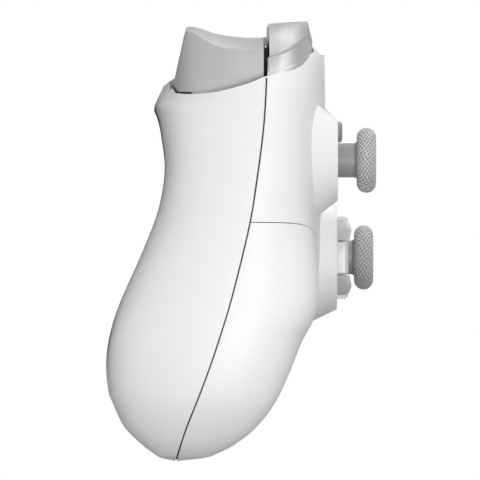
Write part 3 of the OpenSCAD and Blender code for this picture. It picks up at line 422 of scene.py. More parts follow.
def prism(points, low, high, axis=2):
    """Prism of a flat outline along one axis: 0 takes [y, z] points, 1 [x, z], 2 [x, y]."""
    flat = np.asarray(points, float)
    return loft([np.insert(flat, axis, level, axis=1) for level in (low, high)])


def block(a, b):
    return prism([[a[0], a[1]], [b[0], a[1]], [b[0], b[1]], [a[0], b[1]]], a[2], b[2])


def rod_along_x(a, b, y, z, r):
    q = 2 * np.pi * np.arange(32) / 32
    return prism(np.c_[y + r * np.cos(q), z + r * np.sin(q)], a, b, axis=0)


def ball(x, y, z, r):
    q = np.linspace(-np.pi / 2, np.pi / 2, 33)
    profile = np.c_[r * np.cos(q), r * np.sin(q)]
    profile[0, 0] = profile[-1, 0] = 0
    return lathe(profile, x, y, z, steps=64)


def mirrored(obj):
    """A copy on the other half of the pad."""
    mesh = obj.data.copy()
    mesh.transform(Matrix.Scale(-1, 4, (1, 0, 0)))
    mesh.flip_normals()
    return new_object(obj.name, mesh)


def pair(obj):
    """The copy on the left half, then the one given."""
    return [mirrored(obj), obj]


def laid(obj, axis, x, y, z):
    """Turns a solid a quarter about an axis, then moves it."""
    obj.data.transform(Matrix.Translation((x, y, z)) @ Matrix.Rotation(math.pi / 2, 4, axis))
    return obj


def painted(mesh, material):
    mesh.materials.clear()
    mesh.materials.append(material)


def combine(obj, tools, operation):
    """Adds, cuts or intersects obj with each tool in turn, and deletes the tools."""
    for tool in tools:
        step = obj.modifiers.new("step", "BOOLEAN")
        step.operation = operation
        step.solver = "MANIFOLD"
        step.object = tool
    bpy.context.view_layer.update()
    done = obj.evaluated_get(bpy.context.evaluated_depsgraph_get())
    mesh = bpy.data.meshes.new_from_object(done)
    obj.modifiers.clear()
    obj.data = mesh
    for tool in tools:
        bpy.data.objects.remove(tool)
    return obj


def cut(obj, *tools):
    return combine(obj, tools, "DIFFERENCE")


def add(obj, *tools):
    return combine(obj, tools, "UNION")


def keep(obj, tool):
    return combine(obj, [tool], "INTERSECT")


def skin_tree(grids):
    """Search tree over the faces of skins, with its points and faces."""
    points, faces = [], []
    for g in grids:
        faces += quads(g.shape[0], g.shape[1], len(points))
        points += [Vector(v) for v in g.reshape(-1, 3)]
    return BVHTree.FromPolygons(points, faces), points, faces


def loop_normals(mesh):
    normals = np.zeros(len(mesh.loops) * 3)
    mesh.loops.foreach_get("normal", normals)
    return normals.reshape(-1, 3)


def shade(obj, angle, grids=()):
    """Smooth shading, with the normals of the given skins where the faces lie on them."""
    mesh = obj.data
    mesh.polygons.foreach_set("use_smooth", [True] * len(mesh.polygons))
    mesh.set_sharp_from_angle(angle=math.radians(angle))
    if not grids:
        return obj
    normals = np.vstack([grid_normals(g).reshape(-1, 3) for g in grids])
    tree, points, faces = skin_tree(grids)
    found = {}
    for v in mesh.vertices:
        place, _, index, gap = tree.find_nearest(v.co)
        if gap < ON_SKIN:
            corners = faces[index]
            weights = np.array(poly_3d_calc([points[c] for c in corners], place))
            n = weights @ normals[list(corners)]
            found[v.index] = n / np.linalg.norm(n)
    custom = np.zeros((len(mesh.loops), 3))
    for face in mesh.polygons:
        if all(i in found for i in face.vertices):
            n = sum(found[i] for i in face.vertices)
            flat = np.array(face.normal)
            sign = 1 if n @ flat > 0 else -1
            if abs(n @ flat) > 0.5 * np.linalg.norm(n):
                for loop in face.loop_indices:
                    custom[loop] = sign * found[mesh.loops[loop].vertex_index]
    mesh.normals_split_custom_set(custom.tolist())
    return obj


def place(obj, name, body, material, slot=None, replaces=()):
    """Moves a finished piece from the face frame to the row frame and hangs it on its body."""
    mesh = obj.data
    turn = Matrix(((0.001, 0, 0, 0), (0, COS / 1000, -SIN / 1000, SHIFT / 1000),
                   (0, SIN / 1000, COS / 1000, LIFT / 1000), (0, 0, 0, 1)))
    kept = loop_normals(mesh) if mesh.has_custom_normals else None
    mesh.transform(turn)
    if kept is not None:
        turned = np.c_[kept[:, 0], kept[:, 1] * COS - kept[:, 2] * SIN,
                       kept[:, 1] * SIN + kept[:, 2] * COS]
        mesh.normals_split_custom_set(turned.tolist())
    painted(mesh, material)
    obj.name = name
    mesh.name = name
    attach(obj, body)
    if replaces:
        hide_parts(*replaces)
    return obj


# Materials
def tone(level):
    """A grey level of 0 to 255 as a linear value."""
    v = level / 255
    return v / 12.92 if v < 0.04045 else ((v + 0.055) / 1.055) ** 2.4


def grey(level, warm=0.0):
    return (tone(level + warm), tone(level), tone(level - warm), 1)


def scaled(colour, factor):
    return (colour[0] * factor, colour[1] * factor, colour[2] * factor, 1)


def filled(node, values):
    for key, value in values.items():
        node.inputs[key.replace("_", " ")].default_value = value
    return node


def new_node(tree, kind, **values):
    """A shader node with the given values on its sockets."""
    return filled(tree.nodes.new("ShaderNode" + kind), values)


class Paint:
    """A node material that grows from one principled shader."""

    def __init__(self, name, **values):
        self.material = bpy.data.materials.new(name)
        self.material.use_nodes = True
        self.tree = self.material.node_tree
        self.shader = filled(self.tree.nodes["Principled BSDF"], values)
        self.place = self.node("TexCoord")

    def node(self, kind, **values):
        return new_node(self.tree, kind, **values)

    def link(self, value, target):
        self.tree.links.new(value, target)

    def noise(self, size_mm, detail=3.0, rough=0.55, stretch=None):
        source = self.place.outputs["Object"]
        if stretch:
            mapping = self.node("Mapping", Scale=stretch)
            self.link(source, mapping.inputs["Vector"])
            source = mapping.outputs["Vector"]
        node = self.node("TexNoise", Scale=1000 / size_mm, Detail=detail, Roughness=rough)
        self.link(source, node.inputs["Vector"])
        return node.outputs["Fac"]

    def spread(self, value, low, high, first=0.3, final=0.7):
        node = self.node("MapRange", From_Min=first, From_Max=final, To_Min=low, To_Max=high)
        self.link(value, node.inputs["Value"])
        return node.outputs["Result"]

    def blend(self, factor, a, b):
        node = self.node("Mix")
        node.data_type = "RGBA"
        self.link(factor, node.inputs["Factor"])
        for socket, value in (("A", a), ("B", b)):
            target = [s for s in node.inputs if s.name == socket and s.type == "RGBA"][0]
            if isinstance(value, bpy.types.NodeSocket):
                self.link(value, target)
            else:
                target.default_value = value
        return [s for s in node.outputs if s.type == "RGBA"][0]

    def colour(self, value):
        self.link(value, self.shader.inputs["Base Color"])

    def gloss(self, value):
        self.link(value, self.shader.inputs["Roughness"])

    def relief(self, *layers):
        """Stacks bumps, each a value, a depth in mm and a strength."""
        previous = None
        for value, depth_mm, strength in layers:
            bump = self.node("Bump", Distance=depth_mm / 1000, Strength=strength)
            self.link(value, bump.inputs["Height"])
            if previous:
                self.link(previous, bump.inputs["Normal"])
            previous = bump.outputs["Normal"]
        self.link(previous, self.shader.inputs["Normal"])


def moulded(name, colour, rough=0.5, vary=0.02, grain=0.3, depth=0.02, **more):
    """Moulded plastic: spark-eroded grain, slow drifts of shade, and uneven gloss."""
    paint = Paint(name, **more)
    drift = paint.spread(paint.noise(14, 2), 0, 1)
    speck = paint.spread(paint.noise(0.9, 2), 0, 1)
    base = paint.blend(drift, scaled(colour, 1 - vary), scaled(colour, 1 + vary))
    fleck = paint.blend(speck, scaled(colour, 1 - vary * 0.8), scaled(colour, 1 + vary * 0.6))
    half = paint.node("Mix", Factor=0.5)
    half.data_type = "FLOAT"
    paint.link(drift, half.inputs["A"])
    paint.link(speck, half.inputs["B"])
    paint.colour(paint.blend(half.outputs[0], base, fleck))
    paint.gloss(paint.spread(paint.noise(2.5, 4), rough - 0.06, rough + 0.06))
    paint.relief((paint.noise(grain, 2), depth, 0.5), (paint.noise(grain * 6, 3), depth * 2, 0.25))
    return paint.material


def metal(name, colour, rough=0.3, grain=0.2, depth=0.004):
    """Drawn or plated metal with fine brush lines."""
    paint = Paint(name, Metallic=1.0)
    lines = paint.noise(grain, 3, 0.6, (1, 1, 0.06))
    smear = paint.noise(5, 3)
    paint.colour(paint.blend(paint.spread(smear, 0, 1), scaled(colour, 0.94),
                             scaled(colour, 1.04)))
    paint.gloss(paint.spread(lines, rough - 0.08, rough + 0.1))
    paint.relief((lines, depth, 0.6))
    return paint.material


def knurled(name, pads, grooves):
    """Grippy rubber with bright worn pads, and cut grooves in a dark grey that is painted shade."""
    paint = Paint(name)
    mark = paint.node("Attribute")
    mark.attribute_name = "groove"
    worn = paint.blend(paint.spread(paint.noise(0.7, 3), 0, 1), scaled(pads, 0.82),
                       scaled(pads, 1.06))
    # The groove depth mixes in the dark groove colour: painted shade in the grooves
    paint.colour(paint.blend(paint.spread(mark.outputs["Fac"], 0, 1, 0.05, 0.95), worn, grooves))
    paint.gloss(paint.spread(paint.noise(1.2, 3), 0.5, 0.68))
    paint.relief((paint.noise(0.2, 2), 0.02, 0.6))
    return paint.material


SHELL = moulded("shell_white", grey(250), vary=0.006, grain=0.22, depth=0.008,
                Specular_IOR_Level=1.0)
SHELL_REAR = moulded("shell_rear_white", grey(249), vary=0.008, grain=0.22, depth=0.008,
                     Specular_IOR_Level=1.0)
BLACK = moulded("black_plastic", grey(30), rough=0.55, vary=0.1)
BOARD = moulded("solder_mask", (0.012, 0.11, 0.045, 1), rough=0.3, vary=0.15, grain=0.5,
                depth=0.03, Coat_Weight=0.3)
CHIP = moulded("chip_epoxy", grey(48), rough=0.6, vary=0.1)
WRAP = moulded("battery_wrap", (0.03, 0.045, 0.07, 1), rough=0.28, vary=0.08, grain=1.5,
               depth=0.03)
STEEL = metal("satin_steel", (0.62, 0.62, 0.63, 1))
MAGNET = metal("plated_magnet", (0.5, 0.5, 0.52, 1), rough=0.18)
SCREW = metal("dark_zinc", (0.2, 0.2, 0.21, 1), rough=0.35)
KEY = moulded("key_grey", grey(193), rough=0.42, vary=0.012, grain=0.25, depth=0.006)
BUMPER_KEY = moulded("bumper_grey", grey(188), rough=0.42, vary=0.012, depth=0.002)
BAND_SILVER = metal("band_silver", (0.88, 0.88, 0.88, 1), rough=0.33, grain=0.15, depth=0.002)
# The second grey is painted shade in the knurl's grooves
RUBBER = knurled("stick_rubber", grey(214, 1.5), grey(92, 1.5))
STEM = moulded("stem_plastic", grey(160, 1.5), rough=0.38, vary=0.03, depth=0.008)
WHITE = moulded("white_plastic", grey(225, 2), rough=0.45, vary=0.03)
CROSS_GREY = moulded("cross_grey", grey(212), rough=0.34, vary=0.015, depth=0.002,
                     Metallic=0.12)
# Dark grey painted on the cross's groove walls as the shade in its grooves
GROOVE_PAINTED_SHADE = moulded("cross_groove_painted_shade", grey(84), vary=0.03)
SILICONE = moulded("silicone", grey(205, 3), rough=0.6, vary=0.03, grain=0.6,
                   Subsurface_Weight=0.1, Subsurface_Scale=0.001)
BUTTON = moulded("button_grey", grey(206), rough=0.3, vary=0.012, depth=0.003)
SMALL_BUTTON = moulded("small_button_grey", grey(158), rough=0.38, depth=0.005)
LIGHT_PIPE = moulded("light_pipe", grey(236), rough=0.2, vary=0.01, grain=0.5, depth=0.003,
                     Transmission_Weight=0.2)
FLOOR = moulded("floor_pale", grey(236), rough=0.85, vary=0.004, grain=3)



def both(kinds):
    """Names of the left and the right node of each kind."""
    return [side + "_" + kind for kind in kinds for side in SIDES]


# Solids of the frame that show as they are, by material
NODE_MATERIALS = {
    BLACK: ["inner_frame", "bumper_switches", "tact_switches", "cross_posts", "headset_jack",
            *both(["stick_housing"])],
    BOARD: ["main_board"],
    CHIP: ["board_chips", "trigger_sensors"],
    WRAP: ["battery"],
    STEEL: ["usb_c_socket", "trigger_pins", "bumper_pins", "cross_pivot",
            *both(["rumble_motor", "rumble_weight", "trigger_spring", "stick_yoke"])],
    MAGNET: both(["trigger_magnet"]),
    SCREW: ["case_screws"],
    WHITE: both(["stick_rocker"]),
    SILICONE: ["cross_mat", "face_button_mat"],
    LIGHT_PIPE: ["home_light_ring"]}
for used, names in NODE_MATERIALS.items():
    for node_name in names:
        painted(frame["nodes"][node_name].data, used)


# Covers
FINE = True
ROWS, ACROSS = (96, 170) if FINE else (56, 110)
REAR_ACROSS = ACROSS + 60


def button_places():
    return [(FACE_BUTTONS[0] + FACE_PITCH * math.cos(math.pi / 2 * i),
             FACE_BUTTONS[1] + FACE_PITCH * math.sin(math.pi / 2 * i)) for i in range(4)]


def hole(x, y, low, top, r, lip):
    """Cutter for a round opening with a small chamfer where it meets the skin at top."""
    return lathe([[0, low], [r, low], [r, top - lip], [r + lip, top], [r + lip + 6, top + 6],
                  [0, top + 6]], x, y)


def boss(place_xy, top, foot, depth):
    """Raised round seat with a soft edge and a foot that runs out into the face."""
    r, e = top / 2, 0.35
    slope = (foot - top) / 2 / depth
    profile = [[0, 0], [r - e, 0]]
    for q in np.linspace(0, 1, 5)[1:]:
        profile.append([r - e + e * math.sin(q * math.pi / 3), -e * (1 - math.cos(q * math.pi / 3))])
    start = profile[-1]
    profile += [[start[0] + slope * d, start[1] - d] for d in (depth * 0.25, depth * 0.5,
                                                              depth * 0.75, depth)]
    profile.append([0, start[1] - depth])
    return lathe(profile, *place_xy, steps=160)


def plateau():
    """Low raised plane around the small buttons."""
    foot, edge = -3.6, 3.5
    rings = []
    for y, z in [[9, foot], [12, PLATEAU_Z], [30, PLATEAU_Z], [33, foot]]:
        x = 18 - edge * (z - foot) / (PLATEAU_Z - foot)
        rings.append([[-18, y, -6], [18, y, -6], [18.01, y, foot - 0.01], [x, y, z], [-x, y, z],
                      [-18.01, y, foot - 0.01]])
    return loft(rings)


def rim_prism(x, first, final):
    """Everything above a stretch of the rim, from x outward."""
    line = through(RIM_LINE[first:final + 1], 6)
    return prism(np.vstack([line, [[60, line[-1][1]], [60, line[0][1]]]]), x, 100, axis=0)


def panel_prism(shift):
    """Everything on the grip panel's side of the seam."""
    line = through(SEAM_LINE, 8) + [-shift, shift]
    return prism(np.vstack([line, [[100, -70], [100, line[0][1]]]]), -60, 12)


def trimmed(solid, side):
    """The part of a solid inside a cover."""
    return keep(solid, filling_solid(side))


def front_solid():
    shell = cover_solid(1, ROWS, ACROSS)
    add(shell, *[boss(*seat) for seat in BOSSES], plateau())
    add(shell, *[rod(x, y, FLANGE_Z + 0.4, face_z(x, y) - 1, BUTTON_D / 2 + 1.6)
                 for x, y in button_places()])
    return add(shell, *[trimmed(rod(x, y, z, 0, POST_R), 1) for x, y, z in SCREWS])


def front_cut(shell):
    tools = []
    for x, y in (LEFT_STICK, RIGHT_STICK):
        tools += [hole(x, y, HOLE_LOW, 0, STICK_HOLE_R, 0.2),
                  ball(x, y, -PIVOT_DEPTH, DOME_R + 0.6)]
    tools += [hole(*CROSS, -DISH_DEPTH, 0, CROSS_SPAN / 2 + 1.6, 0.3),
              rod(*CROSS, MAT_LOW, 1, CROSS_NECK_R), rod(*CROSS, MAT_LOW, -DISH_DEPTH - WALL, MAT_R)]
    tools += [hole(x, y, HOLE_LOW, face_z(x, y), BUTTON_D / 2 + KEY_GAP, 0.2)
              for x, y in button_places()]
    tools += [hole(x, y, SMALL_LOW, PLATEAU_Z, SMALL_D / 2 + KEY_GAP, 0.15)
              for x, y in SMALL_PLACES]
    tools += [hole(*CAPTURE, SMALL_LOW, PLATEAU_Z, CAPTURE_D / 2 + KEY_GAP, 0.15),
              hole(*HOME, SMALL_LOW, HOME_TOP, HOME_D / 2 + KEY_GAP + RING_W, 0.1)]
    tools += [rod(x, y, z - 1, z + 7, SCREW_HOLE_R) for x, y, z in SCREWS]
    tools.append(laid(rod(0, 0, *JACK_OPENING), "X", 0, 0, BOARD_LOW - 2.5))
    tools += pair(rim_prism(BUMPER_IN - 0.8, 7, 13)) + pair(bumper_loft(KEY_GAP + 0.05, 36.8))
    return cut(shell, *tools)


def rear_solid():
    shell = cover_solid(-1, ROWS, REAR_ACROSS)
    posts = [rod(x, y, -60, z - 0.1, POST_R + 0.5) for x, y, z in SCREWS]
    wall = block((TRIGGER_IN - 3.2, 35.5, -42), (TRIGGER_IN - 1.7, 50, -18.2))
    return add(shell, *[trimmed(post, -1) for post in posts], *pair(trimmed(wall, -1)))


def trigger_swing():
    """Room for the back edge of the trigger, no wider than the trigger at that depth."""
    first, y, z = TRIGGER_LEVELS[0], *TRIGGER_PIVOT
    levels = np.arange(first + 0.1, -31.7, 0.35)
    radii = z - levels + KEY_GAP
    ends = curve(TRIGGER_END, levels) + KEY_GAP + 0.05
    profile = [[0, TRIGGER_IN - 0.5], [z - first + 0.5, TRIGGER_IN - 0.5],
               [z - first + 0.5, ends[0] - 0.25], *np.c_[radii, ends].tolist(), [0, 62]]
    return laid(lathe(profile, steps=120), "Y", 0, y, z)


def rear_cut(shell):
    tools = [rod(x, y, -70, z - 3.6, SCREW_D + 0.2) for x, y, z in SCREWS]
    tools += [rod(x, y, -60, z + 1, SCREW_D / 2 + 0.25) for x, y, z in SCREWS]
    tools.append(block((-USB[0] / 2 - 0.4, 40, BOARD_LOW - USB[2] - 0.4),
                       (USB[0] / 2 + 0.4, 52, BOARD_LOW + 0.4)))
    swing = keep(trigger_swing(), add(block((30, 28, -42), (70, 44, -34)),
                                      block((50, 34.2, -34.1), (70, 44, -20))))
    return cut(shell, *tools, *pair(rim_prism(TRIGGER_IN - 1.5, 0, 7)), *pair(swing))


# Shoulder keys
def key_ring(z, a, b, low, corner, top):
    """Outline of a shoulder key at height z, with a rounded outer corner and inner end."""
    c, d = max(a + 3, b - 20), 0.9
    turn = np.linspace(0, np.pi / 2, 8)
    q = np.linspace(1, 0, 24)[1:]
    ring = [[b, y] for y in np.linspace(low, corner - d, 12)]
    ring += [[b - d + d * math.cos(k), corner - d + d * math.sin(k)] for k in turn[1:]]
    ring += [[c + (b - d - c) * f, top - (top - corner) * f**2.2] for f in q]
    ring += [[a + d - d * math.sin(k), top - d + d * math.cos(k)] for k in turn]
    ring += [[a, low]]
    return [[x, y, z] for x, y in ring]


def slanted(table, z, w):
    """Lower of a table's values at z and at w before z."""
    return np.minimum(curve(table, z), curve(table, max(z - w, table[0][0])))


def finer(levels, parts):
    """Levels with each step cut into equal parts."""
    spots = np.linspace(0, len(levels) - 1, parts * (len(levels) - 1) + 1)
    return np.interp(spots, np.arange(len(levels)), levels)


def trigger_rings(grow, low, parts):
    """Outlines of a trigger, grown outward or hollowed by a negative grow."""
    hollow = max(-grow, 0)
    rings = []
    for z in finer(TRIGGER_LEVELS, parts):
        if TRIGGER_LEVELS[0] + hollow - 0.01 < z < TRIGGER_LEVELS[-1] - hollow + 0.01:
            rings.append(key_ring(z, TRIGGER_IN - grow, float(curve(TRIGGER_END, z)) + grow, low,
                                  float(slanted(TRIGGER_CORNER, z, hollow)) + grow,
                                  float(slanted(TRIGGER_TOP, z, hollow)) + grow))
    return np.array(rings)


def trigger_solid():
    rings = trigger_rings(0, 35.2, 5)
    y, z = TRIGGER_PIVOT
    key = loft(rings)
    cut(key, loft(trigger_rings(-KEY_WALL, 34, 1)))
    add(key, rod_along_x(TRIGGER_IN + 0.5, TRIGGER_IN + 3.4, y, z, PIN_D / 2 + 1.3),
        rod_along_x(55.5, 59.5, y, z, PIN_D / 2 + 1.3))
    relief = -18 - 4.4 * math.tan(math.radians(TRIGGER_PULL + 12))
    cut(key, rod_along_x(TRIGGER_IN - 1, 58.4, y, z, PIN_D / 2 + PIN_GAP),
        block((TRIGGER_IN + 3.5, 30, -21.3), (55.4, 41, -17)),
        prism([[30, -42], [38, -42], [38, -40.1], [36, -38.8], [35.9, -35.5], [30, -35.5]],
              30, 80, axis=0),
        prism([[38.4, -18], [34, -17], [34, relief]], 30, 80, axis=0))
    return shade(key, 30, [rings])


def bumper_levels(parts):
    """Levels that follow the plan curve of the outer end at even steps."""
    z = np.linspace(BUMPER_END[0][0], BUMPER_END[-1][0], 600)
    x = curve(BUMPER_END, z)
    run = np.r_[0, np.cumsum(np.hypot(np.diff(z) * 3, np.diff(x)))]
    return np.interp(np.linspace(0, run[-1], parts), run, z)


def grown(table, z, g):
    """Value of a table that holds over a distance g to either side."""
    first, final = BUMPER_END[0][0], BUMPER_END[-1][0]
    if g > 0:
        return float(max(curve(table, z), curve(table, max(z - g, first))))
    return float(min(curve(table, z), curve(table, min(z - g, final))))


def bumper_rings(grow, low, parts):
    first, final = BUMPER_END[0][0], BUMPER_END[-1][0]
    rings = []
    for z in bumper_levels(parts):
        h = first - grow + (final - first + 2 * grow) * (z - first) / (final - first)
        rings.append(key_ring(h, BUMPER_IN - grow, grown(BUMPER_END, h, grow) + grow, low,
                              grown(BUMPER_CORNER, h, grow) + grow,
                              grown(BUMPER_TOP, h, grow) + grow))
    return np.array(rings)


def bumper_loft(grow, low):
    return loft(bumper_rings(grow, low, 24))


def bumper_solid():
    rings = bumper_rings(0, 38, 60)
    x, y = BUMPER_PIVOT
    key = loft(rings)
    cut(key, bumper_loft(-KEY_WALL, 36))
    add(key, rod(x, y, -16.2, -8.2, PIN_D / 2 + 1.2),
        block((BUMPER_IN + 0.4, 42, -15.5), (x + 0.5, 50, -9.5)),
        block((53, 38.4, -15.4), (55, 48, -12.4)))
    cut(key, rod(x, y, -20, -9, PIN_D / 2 + PIN_GAP), loft(band_rings(0.03)))
    return shade(key, 30, [rings])


def band_rings(grow):
    """Bright band on the outer end, wrapped round toward the face."""
    z = bumper_levels(72)
    z = z[z < -6.35 + grow]
    x = curve(BUMPER_END, z)
    top = curve(BUMPER_CORNER, z) - 0.9
    dx, dz = np.gradient(x), np.gradient(z)
    run = np.hypot(dx, dz)
    nx, nz = dz / run, -dx / run
    deep, out, low = BAND + grow, grow * 8, BAND_LOW - grow * 30
    rings = []
    for i in range(len(z)):
        px, pz = x[i] + nx[i] * out, z[i] + nz[i] * out
        qx, qz = x[i] - nx[i] * deep, z[i] - nz[i] * deep
        rings.append([[px, low, pz], [px, top[i] + grow - 0.15, pz],
                      [px - nx[i] * 0.12, top[i] + grow, pz - nz[i] * 0.12],
                      [qx, top[i] + grow, qz], [qx, low, qz]])
    return np.array(rings)


# Sticks, drawn about the middle of their bosses
def knurl(around, along, turns, rows):
    """Height of an uneven diamond knurl, 0 in the grooves and 1 on the pads."""
    sway = 0.3 * np.sin(2 * np.pi * (around * 7 + along * 3))
    drift = 0.35 * np.sin(2 * np.pi * (around * 5 - along * 4))
    a = np.abs(((around * turns + along * rows + drift) % 1) - 0.5) * 2
    b = np.abs(((around * turns * 0.8 - along * rows * 0.9 + sway) % 1) - 0.5) * 2
    return np.clip(np.minimum((1 - a) / 0.4, 0.1 + (1 - b) / 0.34), 0, 1)


def cap_profile():
    """Rim of the cap as [radius, height], from its underside over the rim to the dished top."""
    r = CAP_T / 2
    low, edge = CAP_LIFT, CAP_D / 2 - CAP_T / 2
    under = [[x, low] for x in np.linspace(CAP_UNDER_R, edge, 8, endpoint=False)]
    rim = [[edge + r * math.cos(q), low + r + r * math.sin(q)]
           for q in np.linspace(-math.pi / 2, math.pi / 2, 72)]
    dish = [[edge * (1 - q), low + CAP_T - CAP_DISH * math.sin(q * math.pi / 2) ** 0.9]
            for q in np.linspace(0, 1, 28)[1:]]
    return np.array(under + rim + dish)


def stick_cap(centre):
    """Turned cap with the knurl cut into its rim, and the depth of the cut kept on its points."""
    profile = cap_profile()
    steps = 640 if FINE else 320
    run = np.r_[0, np.cumsum(np.linalg.norm(np.diff(profile, axis=0), axis=1))]
    tangent = np.gradient(profile, axis=0)
    normal = unit(np.c_[tangent[:, 1], -tangent[:, 0]])
    around = np.arange(steps) / steps
    height = knurl(around[None, :], run[:, None] / (math.pi * CAP_D), KNURL_TURNS,
                   KNURL_TURNS * 1.25)
    start = CAP_D / 2 - CAP_T / 2 - CAP_UNDER_R
    end = start + math.pi * CAP_T / 2
    mask = ease((run - start + 1.2) / 1.4) * ease((end + 1.5 - run) / 1.4)
    drop = -KNURL_DEPTH * (1 - height) * mask[:, None]
    r = profile[:, 0][:, None] + normal[:, 0][:, None] * drop
    z = profile[:, 1][:, None] + normal[:, 1][:, None] * drop
    r[-1] = 0
    q = 2 * np.pi * around[None, :]
    grid = np.stack([centre[0] + r * np.cos(q), centre[1] + r * np.sin(q),
                     z + 0 * q], -1)
    points = grid[:-1].reshape(-1, 3)
    rows_used = len(profile) - 1
    faces = quads(rows_used, steps, wrap=True)
    top = len(points)
    points = np.vstack([points, grid[-1, 0], [[*centre, CAP_LIFT]]])
    last_ring = (rows_used - 1) * steps
    faces += [(last_ring + k, last_ring + (k + 1) % steps, top) for k in range(steps)]
    faces += [((k + 1) % steps, k, top + 1) for k in range(steps)]
    cap = recalculated(mesh_object("cap", points, faces))
    # Depth of the grooves on each point, which paints shade into them
    groove = ((1 - height) * mask[:, None])[:-1].ravel()
    marks = cap.data.attributes.new("groove", "FLOAT", "POINT")
    marks.data.foreach_set("value", np.r_[groove, 0, 0])
    return cap


def stick_stem(centre):
    """Domed skirt, waisted stem and the collar under the cap."""
    r, low = STEM_D / 2, -PIVOT_DEPTH
    inner = DOME_R - 0.9
    join = math.asin((r + 0.9) / DOME_R)
    outer = [[DOME_R * math.sin(q), low + DOME_R * math.cos(q)]
             for q in np.linspace(math.radians(72), join, 24)]
    start = outer[-1]
    fillet = [[start[0] - 0.9 * math.sin(q), start[1] + 0.55 * (1 - math.cos(q))]
              for q in np.linspace(0, math.pi / 2, 8)[1:]]
    stem = [[r, z] for z in np.linspace(0.3, CAP_LIFT - 0.5, 6)]
    collar = [[r + 0.22, CAP_LIFT - 0.3], [r + 0.25, CAP_LIFT + 0.02], [0, CAP_LIFT + 0.02]]
    hollow = [[inner * math.sin(q), low + inner * math.cos(q)]
              for q in np.linspace(0, math.radians(72), 24)]
    shaft_r, foot = 1.5, low - 2.2
    throat = low + math.sqrt(inner**2 - shaft_r**2)
    under = [[0, foot], [shaft_r, foot], [shaft_r, throat]]
    hollow = [p for p in hollow if p[0] > shaft_r]
    profile = under + hollow + outer + fillet + stem + collar
    return shade(lathe(profile, *centre, steps=128), 30)


# Cross pad
def arm_height(d):
    """Height of an arm at distance d from the middle."""
    r = CROSS_SPAN / 2
    return np.interp(d, [0, CROSS_ARM / 2 - 0.4, r - 0.75, r],
                     [ARM_RISE - 0.9, ARM_RISE - 0.5, ARM_RISE, ARM_RISE - 0.75])


def cross_arms():
    """The cross in plan, with its top dished toward the middle and eased edges."""
    r, h, e = CROSS_SPAN / 2, CROSS_ARM / 2, 0.3
    spots = [-r, -r + 0.06, -r + 0.2, -r + 0.45, -r + 0.75, -r + 1, -r + 2.5, -h, -1.8, 0]
    spots = spots + [-s for s in reversed(spots[:-1])]
    rings = []
    for x in spots:
        near = 0.3 if abs(x) > r - 0.01 else 0
        top = float(arm_height(abs(x)))
        side = h - near
        rings.append([[x, -side, -1], [x, -side, top - e], [x, -side + 0.09, top - e * 0.3],
                      [x, -side + e, top], [x, side - e, top], [x, side - 0.09, top - e * 0.3],
                      [x, side, top - e], [x, side, -1]])
    bar = loft(rings)
    other = loft([[[-p[1], p[0], p[2]] for p in ring] for ring in rings])
    return add(bar, other)


def cross_lobe(quarter):
    """Lobe between two arms: its rim peaks half way and its top falls toward the middle."""
    e, r = CROSS_ARM / 2 + CROSS_GROOVE, CROSS_SPAN / 2
    spread = 45 - math.degrees(math.asin(e / r))
    turn = np.radians(quarter * 90)
    bevel = 0.55
    rings = []
    for k in np.linspace(-2, 2, 25):
        a = math.radians(45 + spread * k / 2)
        top = CROSS_RISE - 0.3 * abs(k)
        near = [max((r - bevel) * math.cos(a), e), max((r - bevel) * math.sin(a), e)]
        rim = [r * math.cos(a), r * math.sin(a)]
        soft = [rim[0] * 0.995, rim[1] * 0.995]
        inward = [e + (near[0] - e) * 0.03 + 0.001 * k, e + (near[1] - e) * 0.03]
        ring = [[*inward, -1], [*rim, -1], [*rim, top - 0.98], [*soft, top - 0.88],
                [near[0], near[1], top], [*inward, 1.2]]
        rings.append([[p[0] * math.cos(turn) - p[1] * math.sin(turn),
                       p[0] * math.sin(turn) + p[1] * math.cos(turn), p[2]] for p in ring])
    return loft(rings)


def cross_solid():
    """The cross with its rocker foot, its groove walls in a second material of painted shade."""
    pad = cross_arms()
    add(pad, *[cross_lobe(k) for k in range(4)])
    add(pad, rod(0, 0, -1, 0.5, CROSS_SPAN / 2 - 0.4), rod(0, 0, -6, 0, 4.5),
        rod(0, 0, -6.4, -5.2, 10.1),
        *[rod(7.6 * math.cos(a), 7.6 * math.sin(a), -13.6, -6, 2.2)
          for a in np.arange(4) * math.pi / 2],
        *[block((-1.4, s * 4 - 0.8, -11.6), (1.4, s * 4 + 0.8, -6)) for s in (-1, 1)])
    cut(pad, laid(rod(0, 0, -6, 6, 0.8 + PIN_GAP), "X", 0, 0, -10))
    h, e = CROSS_ARM / 2, CROSS_ARM / 2 + CROSS_GROOVE
    # Faces on the groove walls take the second material, the painted groove shade
    for face in pad.data.polygons:
        for a, b in ((0, 1), (1, 0)):
            near = min(abs(abs(face.center[a]) - h), abs(abs(face.center[a]) - e))
            if near < 0.12 and abs(face.center[b]) > h and abs(face.normal[a]) > 0.7:
                face.material_index = 1
    pad.data.transform(Matrix.Translation((*CROSS, 0)))
    return shade(pad, 22)


# Buttons
def button(spot, top, r, flange, seat, low):
    """Turned button with a domed top, a soft edge, and a flange below the shell."""
    profile = [[0, top - 0.02]]
    profile += [[x, top - 0.02 - 0.14 * (x / r) ** 2] for x in np.linspace(0.3, r - 0.75, 10)]
    base = profile[-1]
    profile += [[base[0] + 0.75 * math.sin(q), base[1] - 0.7 * (1 - math.cos(q))]
                for q in np.linspace(0, math.pi / 2, 9)[1:]]
    profile += [[r, seat], [flange, seat], [flange, seat - 1.2]]
    stalk = min(r, 1.8)
    if low < seat - 1.2:
        profile += [[stalk, seat - 1.2], [stalk, low], [0, low]]
    else:
        profile += [[0, seat - 1.2]]
    return shade(lathe(profile[::-1], *spot), 30)


